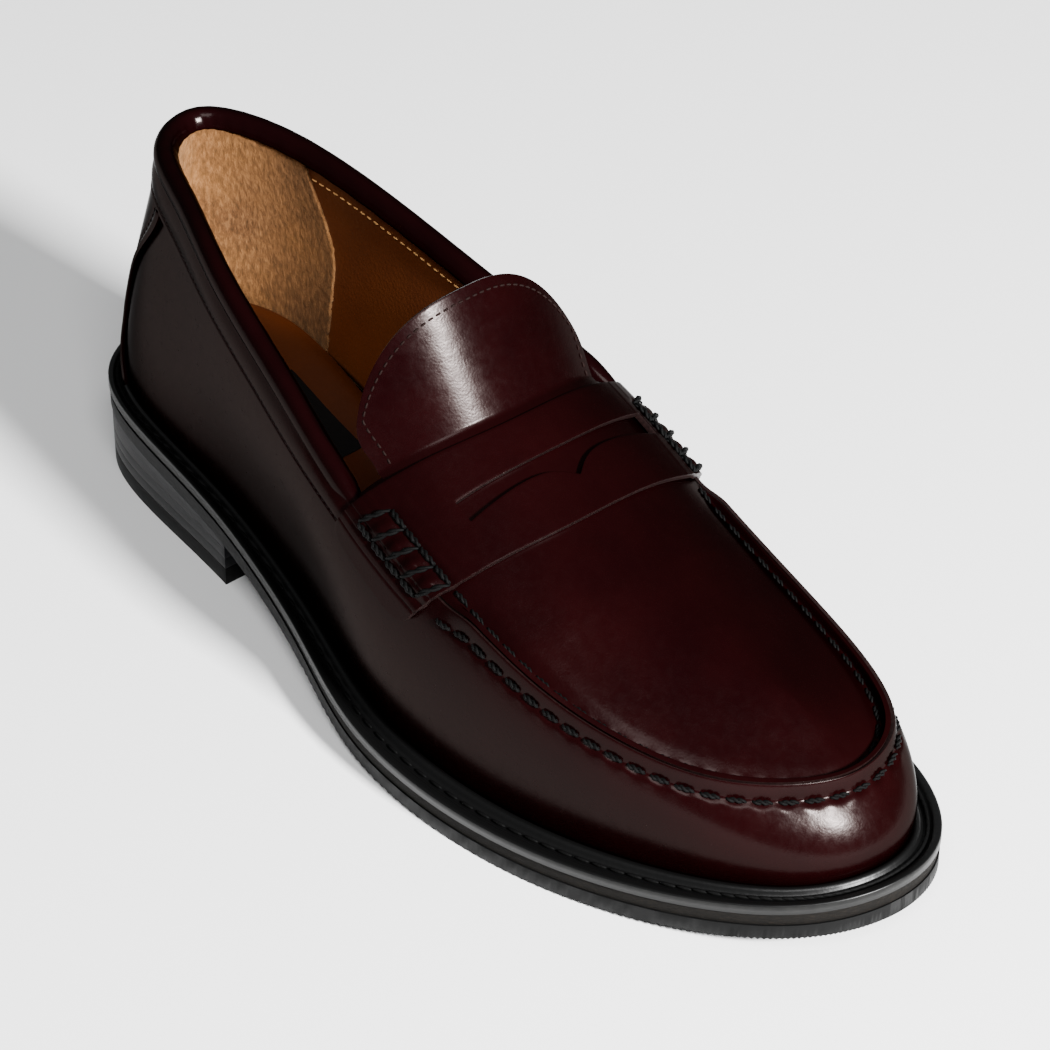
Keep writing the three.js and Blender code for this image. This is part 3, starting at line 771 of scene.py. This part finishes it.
def apron_stitch(n):
    def path(t):
        i = seam_station(n + 0.08 + 0.84 * t)
        medial = i > TOE
        k = 1 - abs(i - TOE) / (TOE - APRON_REAR)
        share = 1 - APRON_ROW / apron_width(k, medial)
        sink = 0.9 * abs(2 * t - 1) ** 4
        return apron(k, math.copysign(share, 1 if medial else -1)) + UP * (0.4 - sink), UP

    return path


first_stitch = math.ceil(seam_phase(6.02))
sewn = range(first_stitch, SEAM_STITCHES - first_stitch)
thread_piece("apron_seam_stitches_outer", [skirt_stitch(n) for n in sewn], waxed, THREAD,
             replaces=["apron_thread"])
thread_piece("apron_seam_stitches_inner", [apron_stitch(n) for n in sewn], waxed, THREAD * 0.9)

# --- strap ---
# The saddle strap: calf 1.6 mm thick laid over the apron and both seams, with round ends, dyed cut
# edges and the coin slot, which has a straight rear edge and a front lip notched in the middle.
STRAP_REAR, STRAP_FRONT = 5.06, 6.04
STRAP_THICK, STRAP_CLEAR, OVER_SEAM = 1.6, 0.6, 0.9
FLAP, FLAP_REACH, FLAP_SKEW = 0.14, (0.23, 0.34), (0.16, 0.38)
SLOT_REAR, SLOT_LIP, NOTCH_DEPTH, NOTCH_HALF = 176.8, 180.4, 5.2, 5.0
SLOT_LATERAL, SLOT_MEDIAL, SLOT_MIDDLE = -28, 32, 0.5
REAR_BOW, LIP_BOW = 5.0, 1.8
STRAP_END, CORNER = 0.05, 0.15
BED_SMOOTHING = 0.045
STRAP_BANDS = (14, 10, 26)
LADDER_OUTER, LADDER_INNER, LADDER_SKEW, LADDER_LAG = 0.112, 0.178, 0.012, 0.07
RUNGS, LADDER_FROM, LADDER_TO = 5, 0.22, 0.98


def strap_bed(p, q):
    """What lies under the strap: p runs across from the lateral end, q from rear to front."""
    i = lerp(STRAP_REAR, STRAP_FRONT, q)
    down = 1 - min(p, 1 - p) / FLAP
    if down > 0:
        i -= lerp(*FLAP_SKEW, clamp(q)) * down
        return wall(i if p < 0.5 else SIDES - i, 1 - lerp(*FLAP_REACH, clamp(q)) * down)
    return apron((i - APRON_REAR) / (TOE - APRON_REAR), lerp(-1, 1, (p - FLAP) / (1 - 2 * FLAP)))


@functools.lru_cache(maxsize=None)
def strap_smooth(p, q):
    total = Vector((0, 0, 0))
    for tap in (-1.5, -1, -0.5, 0, 0.5, 1, 1.5):
        total += strap_bed(clamp(p + tap * BED_SMOOTHING), q)
    return (total / 7).freeze()


def ladder_shape(p, q):
    """How far the leather stands up between the ladder's threads, and sinks under them."""
    side = min(p, 1 - p) + LADDER_SKEW * q
    step = (LADDER_TO - LADDER_FROM) / (RUNGS - 1)
    if not LADDER_OUTER - 0.04 < side < LADDER_INNER + 0.04:
        return 0
    inside = ease(q, LADDER_FROM - 0.06, LADDER_FROM) * (1 - ease(q, LADDER_TO, LADDER_TO + 0.06))
    middle = (LADDER_OUTER + LADDER_INNER) / 2
    hill = math.exp(-((side - middle) / 0.024) ** 2)
    cells = 0.5 - 0.5 * math.cos(math.tau * (q - LADDER_FROM) / step)
    rails_sunk = sum(math.exp(-((side - rail) / 0.009) ** 2) for rail in (LADDER_OUTER, LADDER_INNER))
    return inside * (hill * (0.15 + 0.75 * cells) - 0.4 * rails_sunk)


def strap_height(p, q):
    seam = math.exp(-((abs(p - 0.5) - 0.37) / 0.07) ** 2)
    return STRAP_THICK + STRAP_CLEAR + OVER_SEAM * seam + ladder_shape(p, q)


def strap_face(p, q):
    e = 0.01
    across = strap_smooth(clamp(p + e), q) - strap_smooth(clamp(p - e), q)
    ahead = strap_smooth(p, q + e) - strap_smooth(p, q - e)
    out = ahead.cross(across).normalized()
    return strap_smooth(p, q) + out * strap_height(p, q), out


def q_at(p, x):
    """Where across the strap's depth the plan line x lies."""
    low, high = 0.0, 1.0
    for _ in range(16):
        middle = (low + high) / 2
        if strap_smooth(p, middle).x < x:
            low = middle
        else:
            high = middle
    return low


def slot_rear(y):
    return SLOT_REAR - REAR_BOW * ((y - SLOT_MIDDLE) / 30) ** 2


def slot_lip(y):
    off = abs(y - SLOT_MIDDLE)
    notch = NOTCH_DEPTH * math.exp(-(off / NOTCH_HALF) ** 1.2)
    return SLOT_LIP + notch - LIP_BOW * (off / 27) ** 2


STRAP_COLUMNS = 300


@functools.lru_cache(maxsize=None)
def p_at(y):
    low, high = FLAP, 1 - FLAP
    for _ in range(20):
        middle = (low + high) / 2
        if strap_smooth(middle, 0.3).y < y:
            low = middle
        else:
            high = middle
    return low


SLOT_FROM = round(p_at(SLOT_LATERAL) * STRAP_COLUMNS) / STRAP_COLUMNS
SLOT_TO = round(p_at(SLOT_MEDIAL) * STRAP_COLUMNS) / STRAP_COLUMNS


@functools.lru_cache(maxsize=None)
def band_edges(p):
    """q of the slot's rear edge and front lip in this column; beside the slot they level out."""
    inside = clamp(p, SLOT_FROM, SLOT_TO)
    y = strap_smooth(inside, 0.4).y
    rear, front = q_at(inside, slot_rear(y)), q_at(inside, slot_lip(y))
    away = ease(abs(p - inside), 0, 0.1)
    return lerp(rear, 0.4, away), lerp(front, 0.56, away)


def strap_spot(u, p):
    """The p, q of a grid point: rows follow the slot's two edges, and the ends are rounded."""
    row = u * sum(STRAP_BANDS)
    side = min(p, 1 - p)
    if side < STRAP_END:
        side = STRAP_END * (side / STRAP_END) ** 1.6
        p = side if p < 0.5 else 1 - side
    rear, front = band_edges(p)
    a, b, c = STRAP_BANDS
    if row <= a:
        q = rear * row / a
    elif row <= a + b:
        q = lerp(rear, front, (row - a) / b)
    else:
        q = lerp(front, 1, (row - a - b) / c)
    end = clamp(1 - min(p, 1 - p) / STRAP_END)
    corner = CORNER * (1 - math.sqrt(1 - end ** 2))
    return p, lerp(corner, 1 - corner, q)


strap_spots = []


def strap_place(u, v):
    strap_spots.append(strap_spot(u, v))
    return strap_smooth(*strap_spots[-1])


bm = grid(sum(STRAP_BANDS), STRAP_COLUMNS, strap_place)
bm.normal_update()
for vert, spot in zip(bm.verts, strap_spots):
    vert.co += vert.normal * strap_height(*spot) * MM
bm.faces.ensure_lookup_table()
holes = []
for face in bm.faces:
    column, row = divmod(face.index, sum(STRAP_BANDS))
    p = (column + 0.5) / STRAP_COLUMNS
    if SLOT_FROM < p < SLOT_TO and STRAP_BANDS[0] <= row < STRAP_BANDS[0] + STRAP_BANDS[1]:
        holes.append(face)
bmesh.ops.delete(bm, geom=holes, context="FACES")
finish_piece("penny_strap_calf", bm, [calf, cut_edge], replaces=["strap"],
             recalc=False, modifiers=[thick(STRAP_THICK, rim=1), rounded(0.3, 2, 60)])

# --- strap ladders ---
# Each end is sewn down over the ridge by hand: two rails of heavy waxed thread in line with the
# seam's own rows, and five rungs across them that squeeze the leather into pads.
LADDER_THREAD = 0.68


def ladder_leg(lateral, side0, q0, side1, q1):
    def path(t):
        q, side = lerp(q0, q1, t), lerp(side0, side1, t)
        q -= LADDER_LAG * (LADDER_INNER - side) / (LADDER_INNER - LADDER_OUTER)
        side -= LADDER_SKEW * q
        point, out = strap_face(side if lateral else 1 - side, q)
        return point + out * (0.5 - 0.9 * abs(2 * t - 1) ** 6), out

    return path


rungs = [lerp(LADDER_FROM, LADDER_TO, k / (RUNGS - 1)) for k in range(RUNGS)]
for side, node in (("lateral", "strap_thread_lateral"), ("medial", "strap_thread_medial")):
    lateral = side == "lateral"
    legs = [ladder_leg(lateral, LADDER_OUTER, q, LADDER_INNER, q) for q in rungs]
    for rail in (LADDER_OUTER, LADDER_INNER):
        legs += [ladder_leg(lateral, rail, a, rail, b) for a, b in zip(rungs, rungs[1:])]
    thread_piece(f"strap_ladder_{side}", legs, waxed, LADDER_THREAD, replaces=[node])

# --- tongue ---
# A flap of the same calf stands up from under the strap, backed with tan lining; a row of fine
# stitches 3 mm inside its rounded edge holds the two together.
TONGUE_LEAN = 1.0
TONGUE_LATERAL, TONGUE_MEDIAL = 0.92, 0.82
TONGUE_SIDE, TONGUE_LENGTH = 6, 33
TONGUE_ALONG = Vector((-math.cos(TONGUE_LEAN), 0, math.sin(TONGUE_LEAN)))
TONGUE_TUCK = 3.5


def tongue_free(p):
    return TONGUE_SIDE + (TONGUE_LENGTH - TONGUE_SIDE) * (1 - abs(p) ** 2.6) ** 0.55


@functools.lru_cache(maxsize=None)
def tongue_root(p):
    root = apron(0, p * (TONGUE_MEDIAL if p > 0 else TONGUE_LATERAL))
    return (root + Vector((-0.8, 0, 1.0))).freeze()


def tongue(p, free, drop=0.0):
    """A point `free` mm up the tongue at p, -1 on its lateral edge, and `drop` mm under its face."""
    e = 0.01
    p *= 1 - 0.05 * (1 - ease(free, 0, 14))
    across = tongue_root(min(p + e, 1)) - tongue_root(max(p - e, -1))
    out = across.cross(TONGUE_ALONG).normalized()
    ahead = TONGUE_ALONG * free if free > 0 else Vector((1, 0, -0.35)) * -free
    return tongue_root(p) + ahead - out * drop, out


def tongue_sheet(drop, trim):
    def place(u, v):
        t = 2 * u - 1
        p = math.copysign(1 - (1 - abs(t)) ** 1.6, t) * trim
        return tongue(p, lerp(-TONGUE_TUCK, tongue_free(p / trim) * trim, v), drop)[0]

    return place


tan_lining, tree, shader, where = material("tan_lining_leather", Roughness=0.5)
cloud = add(tree, "ShaderNodeTexNoise", Vector=where, Scale=30, Detail=5)
tree.links.new(ramp(tree, cloud.outputs["Fac"], [(0.3, "#54260a"), (0.7, "#67330e")]),
               shader.inputs["Base Color"])
grain = add(tree, "ShaderNodeTexVoronoi", Vector=where, Scale=900)
bump = add(tree, "ShaderNodeBump", Height=grain.outputs["Distance"], Strength=0.25, Distance=0.0002)
tree.links.new(bump.outputs["Normal"], shader.inputs["Normal"])

bm = grid(110, 40, tongue_sheet(0, 1))
finish_piece("tongue_calf", bm, [calf, cut_edge], body="tongue_flap",
             replaces=["tongue"], recalc=False, modifiers=[thick(LEATHER, rim=1), rounded(0.35, 2, 60)])
bm = grid(80, 24, tongue_sheet(LEATHER + 0.1, 0.98))
finish_piece("tongue_lining_leather", bm, tan_lining, body="tongue_flap",
             replaces=["tongue_lining"], recalc=False, modifiers=[thick(1.0), rounded(0.25, 2, 60)])


def tongue_row(t):
    reach = 0.925
    up = tongue_free(reach) - 3
    over = 60.0
    length = 2 * up + over
    at = t * length
    if at < up:
        return tongue(-reach, at)
    if at > up + over:
        return tongue(reach, length - at)
    p = lerp(-reach, reach, (at - up) / over)
    return tongue(p, tongue_free(p) - 3)


STITCH_FILL = 0.8


def stitch_row(name, path, samples, pitch, radius, mat, body="shoe", replaces=(), lift=0.1):
    """A row of machine stitches of one pitch along path(t), which gives a point and the way out."""
    spots = [path(k / samples) for k in range(samples + 1)]
    lengths = [0.0]
    for a, b in zip(spots, spots[1:]):
        lengths.append(lengths[-1] + (b[0] - a[0]).length)
    count = max(1, round(lengths[-1] / pitch))

    def at(distance):
        k = 0
        low, high = 0, samples - 1
        while low < high:
            k = (low + high) // 2
            if lengths[k + 1] < distance:
                low = k + 1
            else:
                high = k
        t = clamp((distance - lengths[low]) / max(lengths[low + 1] - lengths[low], 1e-9))
        return spots[low][0].lerp(spots[low + 1][0], t), spots[low][1].lerp(spots[low + 1][1], t)

    def stitch(n):
        def place(t):
            point, out = at((n + 0.5 + STITCH_FILL * (t - 0.5)) * lengths[-1] / count)
            return point + out * (lift - radius * 1.4 * abs(2 * t - 1) ** 3), out

        return place

    return thread_piece(name, [stitch(n) for n in range(count)], mat, radius, body=body,
                        replaces=replaces, strands=1, rings=5, sides=5)


brown_thread = black_thread("dark_polyester_thread", "#0f0706")
stitch_row("tongue_stitches", tongue_row, 260, 2.3, 0.3, brown_thread, body="tongue_flap",
           replaces=["tongue_thread"])

# --- collar band ---
# A folded strip of calf, 13.5 mm deep and lightly padded, follows the topline to the strap, where it
# narrows. It is sewn to the quarter with a fine row along its lower edge.
COLLAR_DEPTH = 13.5
COLLAR_END = 5.12
BAND_OUT = 1.45
ROW_UP = 1.7
MACHINE_PITCH, FINE_THREAD = 2.3, 0.28


def collar_low(i):
    x, _, _, _, _, _, _, tz = rails(i)
    return 1 - (COLLAR_DEPTH - 4 * ease(abs(i), 3.9, 5.0)) / (tz - welt_top(x))


def band_face(i, w):
    """w is 0 on the band's lower edge and 1 on the topline."""
    v = lerp(collar_low(i), 0.998, w)
    depth = w * COLLAR_DEPTH
    tuck = ease(abs(i), 4.9, 5.2)
    out = wall_normal(i, v)
    amount = BAND_OUT * (1 - 0.5 * tuck) + 0.45 * math.sin(math.pi * clamp(w * 1.1)) ** 2 * (1 - tuck)
    amount -= 0.35 * math.exp(-((depth - ROW_UP) / 0.5) ** 2)
    return wall(i, v) + out * amount, out


bm = grid(420, 30, lambda u, v: band_face(lerp(-COLLAR_END, COLLAR_END, u), v ** 1.3)[0])
finish_piece("collar_band_calf", bm, calf, replaces=["collar_band"],
             recalc=False, modifiers=[thick(1.1), rounded(0.4, 3, 60)])
stitch_row("collar_stitches", lambda t: band_face(lerp(-4.96, 4.96, t), ROW_UP / COLLAR_DEPTH), 500,
           MACHINE_PITCH, FINE_THREAD, brown_thread, replaces=["collar_thread"], lift=0.12)

# --- topline binding ---
# A narrow roll of glazed calf is turned over the top edge from the band to the lining and pulled
# tight, which leaves tiny pleats where its stitches bite.
BINDING = [(1.6, -3.6), (2.1, -3.3), (2.2, -2.2), (2.0, -0.6), (1.4, 0.7), (0.5, 1.6), (-0.8, 2.0),
           (-2.0, 1.8), (-3.0, 1.0), (-3.8, -0.2), (-4.4, -1.5), (-4.7, -2.7), (-4.3, -3.0)]
glazed = polished_calf("glazed_binding_calf", "#150305", "#1e0609", 0.16)


def binding_place(u, v):
    i = lerp(-COLLAR_END, COLLAR_END, u)
    k = min(int(v * (len(BINDING) - 1)), len(BINDING) - 2)
    t = v * (len(BINDING) - 1) - k
    out, rise = Vector(BINDING[k]).lerp(Vector(BINDING[k + 1]), t)
    tuck = ease(abs(i), 4.8, 5.2)
    pleat = 0.07 * math.sin(u * COLLAR_END * 2 * 23) * math.exp(-((v - 0.75) / 0.25) ** 2)
    scale = 1 - 0.55 * tuck
    return (wall_top(i) + outward(i) * (out * scale + pleat)
            + UP * ((rise + 1.1) * scale - 0.8 * tuck + pleat))


bm = grid(640, 24, binding_place)
finish_piece("topline_binding_calf", bm, glazed, replaces=["collar_binding"],
             recalc=False, modifiers=[thick(0.5)])

# --- heel stay ---
# A tapered back strap covers the quarter seam behind the heel, its long edges folded over a cord
# and sewn with a fine row just inside.
STAY_CORD, STAY_ROW = 0.96, 0.88


def stay_half(v):
    return 0.97 + 0.5 * (1 - ease(v, 0, 0.25)) + 0.6 * ease(v, 0.4, 1)


def stay_face(s, t):
    """s runs across from -1 to 1, t up from the welt to the collar band."""
    v = t * (collar_low(0) - 0.002)
    i = s * stay_half(t)
    out = wall_normal(i, v)
    edge_cord = 0.55 * math.exp(-((abs(s) - STAY_CORD) / 0.03) ** 2)
    sunk = 0.25 * math.exp(-((abs(s) - STAY_ROW) / 0.02) ** 2)
    return wall(i, v) + out * (1.2 + edge_cord - sunk), out


def crowd_ends(u):
    """From 0..1 to -1..1, closer together toward both ends, where the edges are rounded."""
    t = 2 * u - 1
    return math.copysign(1 - (1 - abs(t)) ** 1.7, t)


bm = grid(110, 70, lambda u, v: stay_face(crowd_ends(u), v)[0])
finish_piece("heel_stay_calf", bm, calf, replaces=["heel_stay"],
             recalc=False, modifiers=[thick(1.0), rounded(0.3, 2, 60)])
for side, sign in (("lateral", 1), ("medial", -1)):
    stitch_row(f"heel_stay_stitches_{side}", lambda t: stay_face(STAY_ROW * sign, lerp(0.01, 0.99, t)),
               160, MACHINE_PITCH, FINE_THREAD, brown_thread, replaces=[f"heel_stay_thread_{side}"],
               lift=0.12)

# --- quarter linings ---
# Two panels of tan vegetable-tanned leather, glued in behind the heel grip's front edges and sewn
# 7.5 mm under the topline with pale thread.
LINING_DEPTH = 3.6
LINING = 0.8
LINING_ROW_DROP, LINING_PITCH, LINING_THREAD = 7.5, 2.6, 0.26


def lining_face(i, v, lift=0.0):
    inward = -wall_normal(i, v)
    return wall(i, v) + inward * (LINING_DEPTH + lift), inward


def lining_grid(i0, i1, v0, v1):
    """A grid on the lining's face that faces into the shoe."""
    return lambda u, v: lining_face(lerp(i1, i0, u), lerp(v0, v1, v))[0]


for side, i0, i1 in (("lateral", 1.6, 5.95), ("medial", SIDES - 5.95, SIDES - 1.6)):
    bm = grid(160, 40, lining_grid(i0, i1, 0.04, 0.985))
    finish_piece(f"quarter_lining_{side}", bm, tan_lining,
                 replaces=[f"quarter_lining_{side}"], recalc=False, modifiers=[thick(LINING)])
pale_thread = black_thread("pale_lining_thread", "#b98a55")


def lining_row(i0, i1):
    def path(t):
        i = lerp(i0, i1, t)
        return lining_face(i, 1 - LINING_ROW_DROP / (rails(i)[7] - welt_top(rails(i)[0])))

    return path


for side, i0, i1 in (("lateral", 2.05, 4.9), ("medial", SIDES - 4.9, SIDES - 2.05)):
    stitch_row(f"lining_stitches_{side}", lining_row(i0, i1), 200, LINING_PITCH, LINING_THREAD, pale_thread)

# --- heel grip ---
# Suede with its nap outward lines the heel so that the foot doesn't slip. It overlaps the smooth
# lining with a raw skived edge; rubbing has laid the nap in darker and lighter streaks.
suede, tree, shader, where = material("brushed_suede", Roughness=0.95, Sheen_Weight=0.25,
                                      Sheen_Roughness=0.5)
shader.inputs["Sheen Tint"].default_value = colour("#e8b98a")
shader.inputs["Specular IOR Level"].default_value = 0.1
turned = add(tree, "ShaderNodeMapping", Vector=where, Rotation=(0.3, 0.9, 0.4), Scale=(1, 1, 0.35))
nap = add(tree, "ShaderNodeTexNoise", Vector=turned.outputs["Vector"], Scale=900, Detail=6,
          Roughness=0.7)
rubbed = add(tree, "ShaderNodeTexNoise", Vector=where, Scale=38, Detail=4)
nap_tone = ramp(tree, nap.outputs["Fac"], [(0.36, "#38220f"), (0.5, "#664124"), (0.64, "#8a603b")])
rub_tone = ramp(tree, rubbed.outputs["Fac"], [(0.35, "#3b2513"), (0.65, "#7d552b")])
tone = add(tree, "ShaderNodeMix", {"data_type": "RGBA"}, Factor=0.4, i6=nap_tone,
           i7=rub_tone)
tree.links.new(tone.outputs[2], shader.inputs["Base Color"])
bump = add(tree, "ShaderNodeBump", Height=nap.outputs["Fac"], Strength=0.9, Distance=0.0006)
tree.links.new(bump.outputs["Normal"], shader.inputs["Normal"])


GRIP_FRONT = 2.1


def grip_place(u, v):
    height = lerp(0.04, 0.99, v)
    end = GRIP_FRONT + 0.3 * (1 - ease(height, 0.45, 1.0))
    end += 0.02 * noise.noise(Vector((height * 40, 3, 0)))
    i = lerp(end, -end, u)
    point, inward = lining_face(i, height, LINING)
    return point + inward * 0.16 * noise.noise(point * 0.9)


bm = grid(220, 90, grip_place)
finish_piece("heel_grip_suede", bm, suede, replaces=["heel_grip"], recalc=False,
             modifiers=[thick(1.0), rounded(0.25, 2, 60)])

# --- sock ---
# A full-length sock of tan leather over foam: thick and cupped under the heel, where its rolled rim
# stands against the lining, and thin toward the toe.
INSOLE_INSET = 5.7
SOCK_EDGE = 0.4
CUP_DEPTH = 3.0


def board_top(x):
    return welt_top(x) + 2.3


def sock_top(x):
    return board_top(x) + 0.3 + lerp(9.5, 2.2, ease(x, 35, 140))


def cup_depth(x):
    return CUP_DEPTH * (1 - ease(x, 60, 120))


def sock_inset(i):
    return rails(i)[2] + INSOLE_INSET + SOCK_EDGE


def sock_plan(u, v):
    i = TOE * lerp(0.0, 0.995, u)
    a, b = edge(i, sock_inset(i)), edge(SIDES - i, sock_inset(SIDES - i))
    return a, b, a.lerp(b, v)


heel_middle = edge(0, sock_inset(0))


def sock_place(u, v):
    a, b, point = sock_plan(u, v)
    half = (b - a).length / 2
    from_side = half * (1 - abs(2 * v - 1))
    x = point.x
    from_back = x - heel_middle.x
    rim = min(from_side, from_back + 0.6)
    round_over = 3.2 * (1 - math.sqrt(1 - (1 - clamp(rim / 5)) ** 2))
    cup = cup_depth(x) * ease(rim, 3, 16)
    point.z = sock_top(x) - round_over - cup
    return point


sock_leather, tree, shader, where = material("tan_sock_leather_shade_darkened", Roughness=0.42, Specular_IOR_Level=0.2)
cloud = add(tree, "ShaderNodeTexNoise", Vector=where, Scale=24, Detail=5)
# The tan is darkened well below the leather's own colour. The cloud's spread is the leather's tone, and the
# overall darkness is painted shade for the shadow that falls inside the shoe.
tree.links.new(ramp(tree, cloud.outputs["Fac"], [(0.3, "#331506"), (0.7, "#451e06")]),
               shader.inputs["Base Color"])
grain = add(tree, "ShaderNodeTexVoronoi", Vector=where, Scale=800)
bump = add(tree, "ShaderNodeBump", Height=grain.outputs["Distance"], Strength=0.25, Distance=0.0002)
tree.links.new(bump.outputs["Normal"], shader.inputs["Normal"])
bm = grid(200, 70, lambda u, v: sock_place(u ** 1.4, 0.5 + 0.5 * crowd_ends(v)))
bottom = bmesh.ops.extrude_face_region(bm, geom=bm.faces[:], use_keep_orig=True)["geom"]
top_verts = set(bm.verts) - {g for g in bottom if isinstance(g, bmesh.types.BMVert)}
for vert in top_verts:
    last = (vert.co + ORIGIN) / MM
    vert.co.z = (board_top(last.x) + 0.3) * MM
sock = finish_piece("padded_sock_leather", bm, sock_leather, replaces=["sock"])

# --- sock label ---
# A plain black woven patch, glued to the sock under the heel. Its weave shows as a faint sheen in
# fine bars.
woven, tree, shader, where = material("black_woven_label", Roughness=0.7, Specular_IOR_Level=0.1)
threads = add(tree, "ShaderNodeTexWave", {"bands_direction": "X"}, Vector=where, Scale=600)
tree.links.new(ramp(tree, threads.outputs["Fac"], [(0.2, "#050505"), (0.8, "#0e0e0f")]),
               shader.inputs["Base Color"])
bump = add(tree, "ShaderNodeBump", Height=threads.outputs["Fac"], Strength=0.4, Distance=0.0001)
tree.links.new(bump.outputs["Normal"], shader.inputs["Normal"])
LABEL_FRONT, LABEL_MEDIAL = 88, 13.5


def label_place(u, v):
    x, y = lerp(LABEL_REAR, LABEL_FRONT, u), lerp(LABEL_LATERAL, LABEL_MEDIAL, v)
    return Vector((x, y, sock_top(x) - cup_depth(x) + 0.5))


bm = grid(24, 16, label_place)
finish_piece("sock_label_woven", bm, woven, replaces=["sock_label"], recalc=False,
             modifiers=[thick(0.4), rounded(0.15)])

# --- hidden parts ---
# Inside the shoe: linings of the vamp, the fibre insole board, cork filler, steel shank, and the
# stiffeners at heel and toe keep the shape that they have in the model and take a real finish.
cork, tree, shader, where = material("ground_cork", Roughness=0.9)
crumbs = add(tree, "ShaderNodeTexVoronoi", Vector=where, Scale=350)
tree.links.new(ramp(tree, crumbs.outputs["Distance"], [(0.1, "#b98f5f"), (0.6, "#6d4a2a")]),
               shader.inputs["Base Color"])
board, tree, shader, where = material("fibre_insole_board", Roughness=0.85)
felt = add(tree, "ShaderNodeTexNoise", Vector=where, Scale=400, Detail=4)
tree.links.new(ramp(tree, felt.outputs["Fac"], [(0.3, "#8f6f50"), (0.7, "#a88963")]),
               shader.inputs["Base Color"])
steel, tree, shader, where = material("spring_steel", Metallic=1.0, Roughness=0.35)
brushed = add(tree, "ShaderNodeTexNoise", Vector=where, Scale=500, Detail=2)
tree.links.new(ramp(tree, brushed.outputs["Fac"], [(0.3, "#8d9094"), (0.7, "#b5b8bc")]),
               shader.inputs["Base Color"])
for names, mat in ((("cork_filler",), cork), (("insole_board", "heel_counter", "toe_puff"), board),
                   (("shank",), steel), (("vamp_lining", "apron_lining"), tan_lining)):
    for name in names:
        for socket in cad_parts[name].material_slots:
            socket.material = mat
